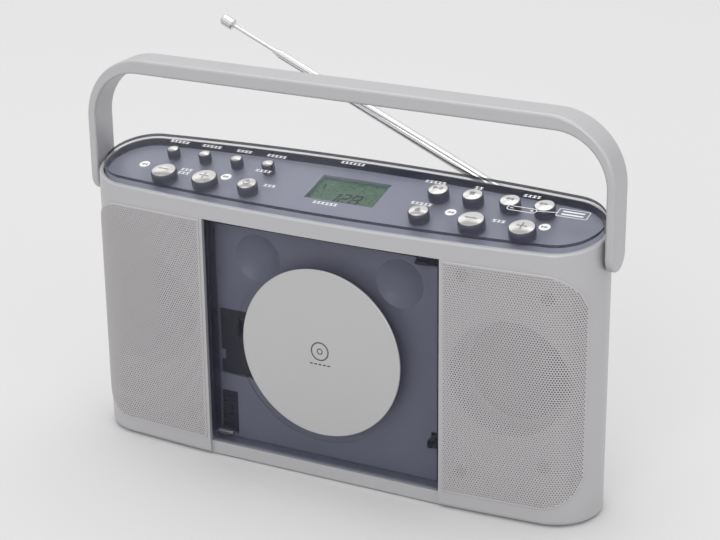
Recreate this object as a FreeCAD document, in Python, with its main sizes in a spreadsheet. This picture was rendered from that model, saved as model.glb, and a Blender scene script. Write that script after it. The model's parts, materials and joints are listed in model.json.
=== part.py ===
import FreeCAD, Part
import math
import os
import re
import Sketcher
from FreeCAD import Placement, Rotation, Vector

# Portable CD radio with a carrying handle. Millimetres; +X to the object's own left as seen from
# the front, -Y towards the listener, +Z up. The origin is on the table, under the middle of the case.

SIZES = {
    # case
    "body_width": 330,
    "body_depth": 68,
    "front_height": 163.6,
    "top_angle": 13.8,
    "end_radius": 28.6,
    "wall": 2.4,
    "rim_round": 1.2,
    "base_round": 2.6,
    "foot_proud": 1,
    "foot_radius": 8,
    "foot_inset_x": 25,
    "foot_inset_y": 21,
    "foot_seat": 1,
    # door bay
    "bay_half": 77.4,
    "bay_floor": 9,
    "bay_top": 154.1,
    "bay_recess": 4,
    "door_gap": 0.5,
    "door_wall": 2.4,
    "door_side": 2,
    "door_nose": 5,
    "door_reach": 8.4,
    "disc_radius": 52.3,
    "disc_thick": 1.2,
    "disc_height": 81.8,
    "ring_gap": 0.3,
    "ring_width": 3.8,
    "ring_proud": 0.9,
    # deck behind the door
    "deck_depth": 14,
    "deck_wall": 2,
    "tray_side": 1.8,
    "tray_gap": 0.2,
    "cup_radius": 17,
    "cup_wall": 1.5,
    "cup_sink": 3.8,
    "cup_floor": 1.2,
    "dent_x": 47,
    "dent_z": 130,
    "dent_ball": 25,
    "dent_sink": 5,
    "dent_skin": 1.6,
    "window_left": 75.5,
    "window_right": 20,
    "window_low": 51,
    "window_high": 94,
    "slot_left": 76,
    "slot_right": 64,
    "slot_low": 12,
    "slot_high": 40,
    "mask_thick": 0.8,
    "mask_lap": 1.5,
    "comb_pitch": 4,
    "comb_proud": 1.5,
    "pin_radius": 1.5,
    "running_gap": 0.05,
    "part_gap": 0.3,
    # turntable and sled
    "hub_radius": 7.3,
    "hub_height": 4.5,
    "platter_radius": 15,
    "platter_thick": 2,
    "platter_proud": 1.2,
    "hub_foot": 5,
    "motor_radius": 12,
    "motor_length": 10,
    "shaft_radius": 1,
    "rod_spread": 38,
    "lens_x": 40,
    "tower_radius": 5,
    "sled_left": 18,
    "carriage_width": 20,
    "sled_module": 0.8,
    "sled_teeth": 16,
    "sled_gear_x": 43.5,
    "sled_motor_radius": 8,
    "rack_module": 1,
    "rack_teeth": 48,
    "damper_teeth": 14,
    "mesh_angle": 58,
    "mesh_slack": 0.15,
    "tooth_slack": 0.2,
    "rack_x": 68,
    "rack_thick": 3,
    # speakers
    "speaker_x": 119,
    "speaker_z": 88.5,
    "speaker_setback": 18.5,
    "speaker_radius": 37.5,
    "well_radius": 35,
    "well_wall": 1.6,
    "cone_radius": 30,
    "cap_radius": 9,
    "magnet_radius": 22,
    "magnet_thick": 10.8,
    "basket_depth": 17.2,
    # grilles
    "grille_inner": 79.6,
    "grille_end": 4.3,
    "grille_bottom": 11,
    "grille_top": 153.6,
    "grille_corner": 22,
    "grille_sheet": 0.8,
    "clip_radius": 4.2,
    # control panel
    "panel_drop": 2.5,
    "panel_thick": 2,
    "panel_inset": 3.1,
    "cover_inset": 3,
    "cover_raise": 4.5,
    "cover_thick": 2.2,
    "cover_skirt": 2,
    "cover_round": 1.8,
    "display_width": 45,
    "display_depth": 26,
    "display_y": 6,
    "display_edge": 1.6,
    "glass_thick": 1.4,
    "board_drop": 11.4,
    "board_thick": 1.6,
    "board_half": 132,
    "board_front": 17,
    "board_rear": 18,
    # keys
    "back_row": 11,
    "front_row": 13.2,
    "small_key": 3.2,
    "medium_key": 5.5,
    "large_key": 7.2,
    "key_window": 0.8,
    "key_stem": 2.2,
    "key_clip": 3,
    "key_top": 6,
    "key_dome": 0.9,
    "key_travel": 0.8,
    "switch_size": 6,
    "switch_height": 3.4,
    # handle
    "arm_gap": 0.6,
    "arm_thick": 5.4,
    "bar_top": 238.4,
    "bar_thick": 9,
    "handle_depth": 20,
    "handle_corner": 40,
    "handle_inner_corner": 31,
    "handle_round": 1.8,
    "pivot_z": 161,
    "pivot_radius": 4,
    "arm_below": 10,
    "pivot_bite": 3,
    # antenna
    "antenna_x": 111,
    "antenna_stand": 6,
    "antenna_z": 160,
    "antenna_lean": 24.2,
    "lower_radius": 3.5,
    "lower_length": 147,
    "middle_radius": 2.65,
    "middle_start": 55,
    "middle_end": 195,
    "rod_radius": 1.1,
    "rod_start": 100,
    "tip_radius": 3.5,
    "tip_length": 8.5,
    "tip_end": 234,
    "turret_radius": 8,
    "turret_bore": 4,
    # power and sockets
    "battery_half": 78,
    "battery_bottom": 5,
    "battery_top": 62.2,
    "battery_front": 2,
    "battery_back": 5.4,
    "battery_wall": 1.4,
    "hatch_gap": 0.4,
    "hatch_floor": 9.4,
    "main_half": 70,
    "main_bottom": 66,
    "main_top": 150,
    "board_y": 12,
    "standoff_radius": 3,
    "inlet_depth": 19,
    "inlet_sink": 4.2,
    "inlet_x": 120,
    "inlet_z": 30,
    "inlet_width": 22,
    "inlet_height": 14,
    "jack_x": 130,
    "jack_z": 118,
    "jack_radius": 1.8,
    "jack_length": 14,
    "jack_sink": 4.6,
    "screw_inset": 15,
    "screw_low": 24,
    "screw_high": 146,
    "screw_radius": 1.4,
    "boss_radius": 4,
}

# key: (cap, place along X, row); the rows are +1 at the back and -1 at the front
KEYS = {
    "sound_key": ("small_key", -122.5, 1),
    "ab_repeat_key": ("small_key", -100, 1),
    "repeat_key": ("small_key", -77.5, 1),
    "program_key": ("small_key", -55.7, 1),
    "slower_key": ("large_key", -114.5, -1),
    "faster_key": ("large_key", -86, -1),
    "power_key": ("medium_key", -56.5, -1),
    "play_key": ("medium_key", 56.8, 1),
    "stop_key": ("medium_key", 78.5, 1),
    "skip_back_key": ("medium_key", 101.5, 1),
    "skip_forward_key": ("medium_key", 122.5, 1),
    "door_open_key": ("medium_key", 55.7, -1),
    "volume_down_key": ("large_key", 88.3, -1),
    "volume_up_key": ("large_key", 119, -1),
}
for key_name, (cap, key_x, row) in KEYS.items():
    SIZES[key_name + "_x"] = key_x

# Sizes that follow from the ones above
DERIVED = {
    "half_width": "body_width / 2",
    "half_depth": "body_depth / 2",
    "end_centre": "half_width - end_radius",
    "bow_radius": "(end_centre^2 + half_depth^2 - end_radius^2) / (2 * (half_depth - end_radius))",
    "bow_x": "end_centre / (bow_radius - end_radius)",
    "bow_y": "(bow_radius - half_depth) / (bow_radius - end_radius)",
    "tilt": "top_angle * 1 deg",
    "mid_height": "front_height + half_depth * tan(tilt)",
    "door_face": "half_depth - bay_recess",
    "door_half": "bay_half - door_gap",
    "door_inner": "door_half - door_side",
    "door_back": "door_face - door_reach",
    "hinge_y": "door_nose - door_face",
    "hinge_z": "bay_floor + door_gap + door_nose",
    "door_top": "bay_top - door_gap",
    "deck_face": "half_depth - deck_depth",
    "deck_rear": "deck_face - deck_wall",
    "tray_half": "bay_half + tray_gap + tray_side",
    "cup_rear": "deck_face - cup_sink - cup_floor",
    "sled_pitch": "sled_module * sled_teeth / 2",
    "rod_y": "cup_rear - 3.5",
    "platter_front": "deck_face + platter_proud",
    "gear_front": "rod_y + 1.5",
    "motor_front": "rod_y - 3",
    "rack_line": "disc_height + rod_spread / 2 + 6.4",
    "sled_gear_z": "rack_line + sled_pitch + mesh_slack",
    "rack_pitch": "rack_module * rack_teeth / 2",
    "damper_pitch": "rack_module * damper_teeth / 2",
    "mesh_reach": "rack_pitch + damper_pitch + mesh_slack",
    "damper_y": "hinge_y + mesh_reach * cos(mesh_angle * 1 deg)",
    "damper_z": "hinge_z + mesh_reach * sin(mesh_angle * 1 deg)",
    "speaker_y": "speaker_setback - half_depth",
    "panel_low": "panel_drop + panel_thick",
    "blank_height": "front_height + body_depth",
    "arm_outer": "half_width + arm_gap + arm_thick",
    "screw_x": "half_width - screw_inset",
    "grille_outer": "half_width - grille_end",
    "antenna_y": "half_depth + antenna_stand",
    "inlet_face": "half_depth - inlet_sink",
    "jack_face": "half_depth - jack_sink",
    "hatch_half": "battery_half - hatch_gap",
    "hatch_top": "battery_top + 0.8",
}

doc = FreeCAD.newDocument("cd_radio")
sheet = doc.addObject("Spreadsheet::Sheet", "Sizes")
NODES = []


def fill_sheet():
    for row_number, (name, size) in enumerate(SIZES.items(), start=1):
        sheet.set("A%d" % row_number, name)
        sheet.set("B%d" % row_number, str(size))
        sheet.setAlias("B%d" % row_number, name)
    doc.recompute()


def formula(text):
    """Write derived sizes out in full and point every size name at its cell."""
    text = str(text)
    wider = None
    while wider != text:
        text = wider or text
        wider = re.sub(r"[a-z_]+", lambda m: "(%s)" % DERIVED[m[0]] if m[0] in DERIVED else m[0], text)
    return re.sub(r"[a-z_]+", lambda m: "Sizes." + m[0] if m[0] in SIZES else m[0], text)


def size_of(text):
    """The present value of a formula."""
    answer = sheet.evalExpression(formula(text))
    return float(getattr(answer, "Value", answer))


def bind(item, path, text):
    item.setExpression(path, formula(text))


# ---------------------------------------------------------------- frames and outlines

# How a piece's own +Z lies: turning axis and angle
AXES = {
    "Z": ((0, 0, 1), "0"),
    "-Z": ((1, 0, 0), "180"),
    "Y": ((1, 0, 0), "-90"),
    "-Y": ((1, 0, 0), "90"),
    "X": ((0, 1, 0), "90"),
    "-X": ((0, 1, 0), "-90"),
    "panel": ((1, 0, 0), "top_angle"),
    "antenna": ((0, 1, 0), "antenna_lean - 90"),
}


def place(item, axis="Z", x="0", y="0", z="0"):
    """Set a piece in the row frame with its own +Z along a named axis."""
    turn, angle = AXES[axis]
    item.Placement = Placement(Vector(0, 0, 0), Rotation(Vector(*turn), size_of(angle)))
    for part, text in (("x", x), ("y", y), ("z", z)):
        bind(item, "Placement.Base." + part, text)
    if angle not in ("0", "90", "-90", "180"):
        bind(item, "Placement.Rotation.Angle", "(%s) * 1 deg" % angle)


def panel_point(x, along, up):
    """A point of the sloping control panel: along runs up the slope, up stands off it."""
    return {
        "x": x,
        "y": "(%s) * cos(tilt) - (%s) * sin(tilt)" % (along, up),
        "z": "mid_height + (%s) * sin(tilt) + (%s) * cos(tilt)" % (along, up),
    }


def antenna_point(across, back, out):
    """A point of the leaning antenna: across lies along its hinge pin, out along the rod."""
    lean = "(antenna_lean * 1 deg)"
    return {
        "x": "antenna_x + (%s) * sin%s - (%s) * cos%s" % (across, lean, out, lean),
        "y": "antenna_y + (%s)" % back,
        "z": "antenna_z + (%s) * cos%s + (%s) * sin%s" % (across, lean, out, lean),
    }


def half_outline(side, inset):
    """Plan of half the case: an arc at each end and one long bowed arc, closed along Y = 0."""
    across = "%s * (end_centre + (end_radius - (%s)) * bow_x)" % (side, inset)
    deep = "%s * (end_radius - (%s)) * bow_y" % (side, inset)
    end = "%s * (half_width - (%s))" % (side, inset)
    small = "end_radius - (%s)" % inset
    large = "bow_radius - (%s)" % inset
    return [
        (end, "0", small),
        (across, deep, large),
        ("-(%s)" % across, deep, small),
        ("-(%s)" % end, "0"),
    ]


def full_outline(inset):
    """Plan of the whole case."""
    across = "end_centre + (end_radius - (%s)) * bow_x" % inset
    deep = "(end_radius - (%s)) * bow_y" % inset
    small = "end_radius - (%s)" % inset
    large = "bow_radius - (%s)" % inset
    return [
        ("-(%s)" % across, "-(%s)" % deep, large),
        (across, "-(%s)" % deep, small),
        (across, deep, large),
        ("-(%s)" % across, deep, small),
    ]


def block_outline(x0, x1, y0, y1):
    return [(x0, y0), (x1, y0), (x1, y1), (x0, y1)]


def circle_outline(x, y, radius):
    return ("circle", x, y, radius)


# ---------------------------------------------------------------- sketches

def draw(sketch, outlines):
    """Draw closed outlines, each corner, centre and radius bound to the sheet."""
    rules = []
    texts = []
    for outline in outlines:
        if outline[0] == "circle":
            draw_circle(sketch, outline, rules, texts)
        else:
            draw_loop(sketch, outline, rules, texts)
    sketch.addConstraint([rule for rule in rules])
    for number, text in enumerate(texts):
        if text is not None:
            bind(sketch, "Constraints[%d]" % number, text)


def draw_circle(sketch, outline, rules, texts):
    x, y, radius = (size_of(text) for text in outline[1:])
    edge = sketch.addGeometry(Part.Circle(Vector(x, y, 0), Vector(0, 0, 1), radius))
    rules.append(Sketcher.Constraint("DistanceX", -1, 1, edge, 3, x))
    rules.append(Sketcher.Constraint("DistanceY", -1, 1, edge, 3, y))
    rules.append(Sketcher.Constraint("Radius", edge, radius))
    texts.extend(outline[1:])


def draw_loop(sketch, outline, rules, texts):
    """Straight edges and arcs; a corner's third entry is the radius of the arc that leaves it, and a
    fourth one marks an arc that bends into the outline."""
    count = len(outline)
    corners = [Vector(size_of(corner[0]), size_of(corner[1]), 0) for corner in outline]
    starts = []
    ends = []
    for number, corner in enumerate(outline):
        here = corners[number]
        there = corners[(number + 1) % count]
        if len(corner) == 2:
            edge = sketch.addGeometry(Part.LineSegment(here, there))
            starts.append((edge, 1))
            ends.append((edge, 2))
            continue
        radius = size_of(corner[2])
        inward = len(corner) == 4
        chord = there - here
        left = Vector(-chord.y, chord.x, 0).normalize()
        rise = math.sqrt(max(radius ** 2 - (chord.Length / 2) ** 2, 0))
        centre = (here + there) * 0.5 + left * (-rise if inward else rise)
        first, last = (there, here) if inward else (here, there)
        angles = [math.atan2(spot.y - centre.y, spot.x - centre.x) for spot in (first, last)]
        edge = sketch.addGeometry(Part.ArcOfCircle(Part.Circle(centre, Vector(0, 0, 1), radius), *angles))
        starts.append((edge, 2 if inward else 1))
        ends.append((edge, 1 if inward else 2))
        rules.append(Sketcher.Constraint("Radius", edge, radius))
        texts.append(corner[2])
    for number, corner in enumerate(outline):
        following = starts[(number + 1) % count]
        rules.append(Sketcher.Constraint("Coincident", *ends[number], *following))
        texts.append(None)
        rules.append(Sketcher.Constraint("DistanceX", -1, 1, *starts[number], corners[number].x))
        texts.append(corner[0])
        rules.append(Sketcher.Constraint("DistanceY", -1, 1, *starts[number], corners[number].y))
        texts.append(corner[1])


# ---------------------------------------------------------------- Part pieces

# Plane: sketch rotation (axis, angle), the letter its offset moves along, and that direction
PLANES = {
    "XY": ((0, 0, 1), 0, "z", (0, 0, 1)),
    "XZ": ((1, 0, 0), 90, "y", (0, 1, 0)),
    "YZ": ((1, 1, 1), 120, "x", (1, 0, 0)),
}


def extrude(name, plane, outlines, start, length):
    """A straight-sided solid that runs from start for a length across its plane."""
    turn, angle, letter, way = PLANES[plane]
    sketch = doc.addObject("Sketcher::SketchObject", name + "_sketch")
    sketch.Placement = Placement(Vector(0, 0, 0), Rotation(Vector(*turn), angle))
    draw(sketch, outlines)
    bind(sketch, "Placement.Base." + letter, start)
    return solid_of(name, sketch, Vector(*way), length)


def extrude_panel(name, outlines, low, high):
    """A solid with its outline drawn on the sloping panel, between two levels off it."""
    sketch = doc.addObject("Sketcher::SketchObject", name + "_sketch")
    place(sketch, "panel", **panel_point("0", "0", low))
    draw(sketch, outlines)
    made = solid_of(name, sketch, Vector(0, 0, 1), "(%s) - (%s)" % (high, low))
    made.DirMode = "Normal"
    return made


def solid_of(name, sketch, way, length):
    made = doc.addObject("Part::Extrusion", name)
    made.Base = sketch
    made.DirMode = "Custom"
    made.Dir = way
    made.Solid = True
    made.FaceMakerClass = "Part::FaceMakerBullseye"
    bind(made, "LengthFwd", length)
    return made


def block(name, x, y, z):
    """A box from three (low, high) pairs."""
    made = doc.addObject("Part::Box", name)
    for side, letter, (low, high) in (("Length", "x", x), ("Width", "y", y), ("Height", "z", z)):
        bind(made, side, "(%s) - (%s)" % (high, low))
        bind(made, "Placement.Base." + letter, low)
    return made


def slanted_block(name, axis, point, x, y, z):
    """A box in the panel's or the antenna's own directions."""
    made = doc.addObject("Part::Box", name)
    for side, (low, high) in (("Length", x), ("Width", y), ("Height", z)):
        bind(made, side, "(%s) - (%s)" % (high, low))
    place(made, axis, **point(x[0], y[0], z[0]))
    return made


def cylinder(name, radius, length, axis="Z", x="0", y="0", z="0"):
    made = doc.addObject("Part::Cylinder", name)
    bind(made, "Radius", radius)
    bind(made, "Height", length)
    place(made, axis, x, y, z)
    return made


def ball(name, radius, x, y, z):
    made = doc.addObject("Part::Sphere", name)
    bind(made, "Radius", radius)
    place(made, "Z", x, y, z)
    return made


def fuse(name, *pieces):
    made = doc.addObject("Part::MultiFuse", name)
    made.Shapes = list(pieces)
    made.Refine = True
    return made


def common(name, first, second):
    made = doc.addObject("Part::Common", name)
    made.Base = first
    made.Tool = second
    return made


def cut(name, base, *tools):
    made = doc.addObject("Part::Cut", name)
    made.Base = base
    made.Tool = tools[0] if len(tools) == 1 else fuse(name + "_tools", *tools)
    return made


def group(name, pieces):
    made = doc.addObject("Part::Compound", name)
    made.Links = list(pieces)
    return made


def round_edges(name, base, choices):
    """Round the edges of a finished solid; choices are (radius, test of an edge)."""
    doc.recompute()
    made = doc.addObject("Part::Fillet", name)
    made.Base = base
    found = []
    for number, edge in enumerate(base.Shape.Edges, start=1):
        for radius, wanted in choices:
            if wanted(edge):
                found.append((number, size_of(radius), size_of(radius)))
                break
    made.Edges = found
    return made


def node(piece, label):
    """Name a finished sub-part; its label is its file."""
    piece.Label = label
    NODES.append(piece)
    return piece


# ---------------------------------------------------------------- PartDesign pieces

def new_body(name):
    return doc.addObject("PartDesign::Body", name)


def body_sketch(body, role, outlines, offset="0"):
    sketch = body.newObject("Sketcher::SketchObject", body.Name + "_sketch")
    plane = [item for item in body.Origin.OriginFeatures if item.Role == role][0]
    sketch.AttachmentSupport = [(plane, "")]
    sketch.MapMode = "FlatFace"
    bind(sketch, "AttachmentOffset.Base.z", offset)
    draw(sketch, outlines)
    return sketch


def turned(name, profile, axis="Z", x="0", y="0", z="0"):
    """A turned piece: a profile of (radius, height) corners spun about its own +Z."""
    body = new_body(name)
    sketch = body_sketch(body, "XZ_Plane", [profile])
    spin = body.newObject("PartDesign::Revolution", name + "_spin")
    spin.Profile = sketch
    spin.ReferenceAxis = (sketch, ["V_Axis"])
    spin.Angle = 360
    place(body, axis, x, y, z)
    return body


# ---------------------------------------------------------------- gears and springs

def involute(angle):
    return math.tan(angle) - angle


def tooth_flank(module, teeth, slack):
    """(radius, half angle of the tooth there) from the root to the tip of a 20 degree tooth."""
    pitch = module * teeth / 2
    base = pitch * math.cos(math.radians(20))
    half = math.pi / (2 * teeth) - slack / (2 * pitch)
    low = max(base, pitch - 0.9 * module)
    high = pitch + 0.8 * module
    flank = []
    for step in range(4):
        radius = low + (high - low) * step / 3
        turn = half + involute(math.radians(20)) - involute(math.acos(min(base / radius, 1)))
        flank.append((radius, turn))
    return flank


def gear_face(module, teeth, slack, phase):
    """A flat toothed disc about the origin, with a tooth's middle at the phase angle."""
    root = module * teeth / 2 - 1.1 * module
    flank = tooth_flank(module, teeth, slack)
    points = []
    for number in range(teeth):
        middle = phase + 2 * math.pi * number / teeth
        side = [(root, flank[0][1])] + flank
        for radius, turn in side:
            points.append(Vector(radius * math.cos(middle - turn), radius * math.sin(middle - turn), 0))
        for radius, turn in reversed(side):
            points.append(Vector(radius * math.cos(middle + turn), radius * math.sin(middle + turn), 0))
    points.append(points[0])
    return Part.Face(Part.makePolygon(points))


def shaped(name, shape, axis="Z", x="0", y="0", z="0"):
    """A piece whose shape comes from the functions above."""
    made = doc.addObject("Part::Feature", name)
    made.Shape = shape
    place(made, axis, x, y, z)
    return made


def coil(radius, wire, turns, pitch):
    """A round-wire helix about Z."""
    path = Part.Wire(Part.makeHelix(pitch, pitch * turns, radius))
    ring = Part.Wire(Part.makeCircle(wire / 2, Vector(radius, 0, 0), Vector(0, 1, 0)))
    return path.makePipeShell([ring], True, True)


# ---------------------------------------------------------------- cabinets

def case_block():
    """The whole case, solid, with its sloping top and its rounded rim and base."""
    upright = extrude("case_upright", "XY", [full_outline("0")], "foot_proud", "blank_height")
    under = slanted_block(
        "case_under", "panel", panel_point, ("-body_width", "body_width"),
        ("-blank_height", "blank_height"), ("-blank_height * 2", "0"))
    trimmed = common("case_trimmed", upright, under)
    slope = math.tan(math.radians(size_of("top_angle")))

    def on_rim(edge):
        return all(abs(spot.Z - size_of("mid_height") - slope * spot.Y) < 0.01 for spot in edge.Vertexes)

    def on_base(edge):
        return edge.BoundBox.ZMax < size_of("foot_proud") + 0.01

    return round_edges("case_block", trimmed, [("rim_round", on_rim), ("base_round", on_base)])


def half_block(name, side, solid):
    """The part of the case in front of the seam or behind it."""
    depth = ("-body_depth", "0") if side == "-1" else ("0", "body_depth")
    return common(name + "_half", solid, block(
        name + "_side", ("-body_width", "body_width"), depth, ("0", "blank_height + 50")))


def case_shell(name, side, solid):
    """Hollow the half and leave its walls and floor."""
    cavity = extrude(
        name + "_cavity", "XY", [half_outline(side, "wall")], "foot_proud + wall", "blank_height")
    return cut(name + "_shell", solid, cavity)


def screw_spots():
    return [(side + "screw_x", level) for side in ("-", "") for level in ("screw_low", "screw_high")]


def foot_spots(side):
    """Two feet on a side of the seam."""
    return [(way + "(half_width - foot_inset_x)", side + "(half_depth - foot_inset_y)") for way in ("-", "")]


def foot_seats(name, side):
    """Shallow seats for the feet, with the middle foot's shared across the seam."""
    return [
        cylinder("%s_seat_%d" % (name, number), "foot_radius", "foot_seat", "Z", x, y, "foot_proud")
        for number, (x, y) in enumerate(foot_spots(side) + [("0", "0")])
    ]


def pivot_holes(name):
    return [
        cylinder(name + "_pivot_right", "pivot_radius + running_gap", "wall * 4", "X",
                 "half_width - wall * 3", "0", "pivot_z"),
        cylinder(name + "_pivot_left", "pivot_radius + running_gap", "wall * 4", "-X",
                 "wall * 3 - half_width", "0", "pivot_z"),
    ]


def standoff_spots():
    return [(side + "(main_half - 6)", level) for side in ("-", "") for level in
            ("main_bottom + 8", "main_top - 8")]


def clip_spots():
    """Openings behind each grille for its clips."""
    low = "grille_bottom + grille_corner"
    return [
        ("grille_inner + 11.5", "grille_top - 6.5"),
        ("grille_inner + 11.5", "grille_bottom + 14.5"),
        ("grille_outer - 19.5", "grille_top - 13.5"),
        ("grille_outer - 19.5", low + " + 5"),
    ]


def front_cabinet(case):
    solid = half_block("front", "-1", case)
    shell = case_shell("front", "-1", solid)
    strip = block(
        "front_strip", ("-(bay_half + wall)", "bay_half + wall"),
        ("-(half_depth - wall)", "-(door_face - wall)"), ("foot_proud + wall / 2", "bay_floor"))
    wells = [
        cylinder("front_well_" + hand, "well_radius + well_wall", "half_depth - speaker_setback + 25", "-Y",
                 sign + "speaker_x", "speaker_y", "speaker_z")
        for hand, sign in (("left", "-"), ("right", ""))
    ]
    bosses = [
        cylinder("front_boss_%d" % number, "boss_radius", "half_depth", "-Y", x, "0", z)
        for number, (x, z) in enumerate(screw_spots())
    ]
    inside = common("front_inside", fuse("front_posts", *wells, *bosses), solid)
    whole = fuse("front_whole", shell, strip, inside)
    tools = [
        block("front_bay", ("-bay_half", "bay_half"), ("-half_depth - 5", "-(door_face - wall)"),
              ("bay_floor", "bay_top")),
        block("front_recess", ("-bay_half", "bay_half"), ("-half_depth - 5", "-door_face"),
              ("0", "bay_floor")),
    ]
    for hand, sign in (("left", "-"), ("right", "")):
        tools.append(cylinder("front_sound_" + hand, "well_radius", "half_depth + 5", "-Y",
                              sign + "speaker_x", "speaker_y + 1", "speaker_z"))
        for number, (x, z) in enumerate(clip_spots()):
            tools.append(cylinder("front_clip_%s_%d" % (hand, number), "clip_radius", "wall * 8", "-Y",
                                  sign + "(%s)" % x, "-(half_depth / 2)", z))
    for number, (x, z) in enumerate(screw_spots()):
        tools.append(cylinder("front_pilot_%d" % number, "screw_radius", "half_depth / 2", "-Y", x, "0", z))
    tools += pivot_holes("front") + foot_seats("front", "-")
    return node(cut("front_cut", whole, *tools), "front_cabinet")


def rear_cabinet(case):
    solid = half_block("rear", "1", case)
    shell = case_shell("rear", "1", solid)
    tubes = [
        cylinder("rear_tube_%d" % number, "boss_radius", "half_depth", "Y", x, "0", z)
        for number, (x, z) in enumerate(screw_spots())
    ]
    for number, (x, z) in enumerate(standoff_spots()):
        tubes.append(cylinder("rear_standoff_%d" % number, "standoff_radius", "half_depth", "Y", x,
                              "board_y + board_thick", z))
    inside = common("rear_inside", fuse("rear_posts", *tubes), solid)
    whole = fuse("rear_whole", shell, inside)
    tools = [
        block("rear_hatch", ("-battery_half", "battery_half"), ("half_depth / 2", "half_depth + 5"),
              ("hatch_floor - hatch_gap * 2", "hatch_top + hatch_gap")),
        block("rear_inlet", ("-inlet_x - inlet_width / 2", "-inlet_x + inlet_width / 2"),
              ("half_depth / 2", "half_depth + 5"),
              ("inlet_z - inlet_height / 2", "inlet_z + inlet_height / 2")),
        cylinder("rear_jack", "jack_radius * 2 + part_gap", "half_depth", "Y", "-jack_x",
                 "half_depth / 2", "jack_z"),
        cylinder("rear_turret", "turret_bore + running_gap", "half_depth", "Y", "antenna_x",
                 "half_depth / 2", "antenna_z"),
    ]
    for number, (x, z) in enumerate(screw_spots()):
        tools.append(cylinder("rear_bore_%d" % number, "screw_radius + part_gap", "half_depth", "Y", x,
                              "-1", z))
        tools.append(cylinder("rear_sink_%d" % number, "boss_radius - 0.6", "half_depth", "Y", x,
                              "half_depth / 2", z))
    for number in range(9):
        middle = "(%d) * 11" % (number - 4)
        tools.append(block("rear_vent_%d" % number, (middle + " - 2", middle + " + 2"),
                           ("half_depth / 2", "half_depth + 5"), ("antenna_z - 44", "antenna_z - 16")))
    tools += pivot_holes("rear") + foot_seats("rear", "")
    return node(cut("rear_cut", whole, *tools), "rear_cabinet")


def rubber_feet():
    profile = [("0", "0"), ("foot_radius - 1", "0"), ("foot_radius", "foot_proud / 2"),
               ("foot_radius", "foot_proud + foot_seat"), ("0", "foot_proud + foot_seat")]
    feet = []
    for x, y in foot_spots("-") + foot_spots("") + [("0", "0")]:
        feet.append(turned("foot_%d" % len(feet), profile, "Z", x, y, "0"))
    node(group("feet", feet), "rubber_feet")


def case_screws():
    screws = []
    for x, z in screw_spots():
        profile = [("0", "-(half_depth / 2 - 3)"), ("screw_radius", "2 - half_depth / 2"),
                   ("screw_radius", "half_depth / 2"), ("boss_radius - 1", "half_depth / 2"),
                   ("boss_radius - 1", "half_depth / 2 + 2"), ("0", "half_depth / 2 + 2")]
        screws.append(turned("screw_%d" % len(screws), profile, "Y", x, "0", z))
    node(group("screws", screws), "case_screws")


# ---------------------------------------------------------------- speakers and grilles

def grille(hand, sign):
    """Sheet that lies on the bowed front and wraps the end, rounded at its two outer corners."""
    near = sign + "(grille_inner)"
    far = sign + "(grille_outer)"
    bend = sign + "(grille_outer - grille_corner)"
    corners = [
        (near, "grille_bottom"),
        (bend, "grille_bottom", "grille_corner"),
        (far, "grille_bottom + grille_corner"),
        (far, "grille_top - grille_corner", "grille_corner"),
        (bend, "grille_top"),
        (near, "grille_top"),
    ]
    if sign == "-":
        corners = [
            (near, "grille_top"),
            (bend, "grille_top", "grille_corner"),
            (far, "grille_top - grille_corner"),
            (far, "grille_bottom + grille_corner", "grille_corner"),
            (bend, "grille_bottom"),
            (near, "grille_bottom"),
        ]
    skin = cut(
        hand + "_skin",
        extrude(hand + "_skin_out", "XY", [half_outline("-1", "-grille_sheet")], "0", "blank_height"),
        extrude(hand + "_skin_in", "XY", [half_outline("-1", "0")], "-5", "blank_height + 10"))
    window = extrude(hand + "_window", "XZ", [corners], "-half_depth - 5", "half_depth")
    node(common(hand + "_sheet", skin, window), hand + "_grille")


def speaker(hand, sign):
    spot = {"axis": "Y", "x": sign + "speaker_x", "y": "speaker_y", "z": "speaker_z"}
    frame = [
        ("cone_radius", "0"), ("speaker_radius", "0"), ("speaker_radius", "1.2"),
        ("cone_radius + 2", "1.2"), ("magnet_radius + 2.5", "basket_depth - 1.2"),
        ("magnet_radius + 2.5", "basket_depth"), ("cap_radius + 3", "basket_depth"),
        ("cap_radius + 3", "basket_depth - 1.2"), ("magnet_radius + 1", "basket_depth - 1.2"),
        ("cone_radius", "2"),
    ]
    basket = turned(hand + "_basket", frame, **spot)
    cone = [
        ("0", "6"), ("cap_radius", "9.6"), ("cone_radius - 4.6", "1"), ("cone_radius - 2.4", "-0.6"),
        ("cone_radius", "0.4"), ("cone_radius", "1.2"), ("cone_radius - 2.4", "0.2"),
        ("cone_radius - 4", "1.8"), ("cap_radius", "10.6"), ("cap_radius", "14"), ("cap_radius - 0.6", "14"),
        ("cap_radius - 0.6", "10.4"), ("0", "6.8"),
    ]
    cone = list(reversed(cone))
    node(turned(hand + "_paper", cone, **spot), hand + "_speaker_cone")
    return basket


def speaker_magnets():
    magnets = []
    for hand, sign in (("left", "-"), ("right", "")):
        profile = [("0", "0"), ("magnet_radius", "0"), ("magnet_radius", "magnet_thick"),
                   ("0", "magnet_thick")]
        magnets.append(turned(hand + "_magnet", profile, "Y", sign + "speaker_x",
                              "speaker_y + basket_depth", "speaker_z"))
    node(group("magnets", magnets), "speaker_magnets")


# ---------------------------------------------------------------- control panel

def key_holes(radius_of):
    holes = []
    for name, (cap, key_x, row) in KEYS.items():
        along = "back_row" if row > 0 else "-front_row"
        holes.append(circle_outline(name + "_x", along, radius_of(cap)))
    return holes


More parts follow.
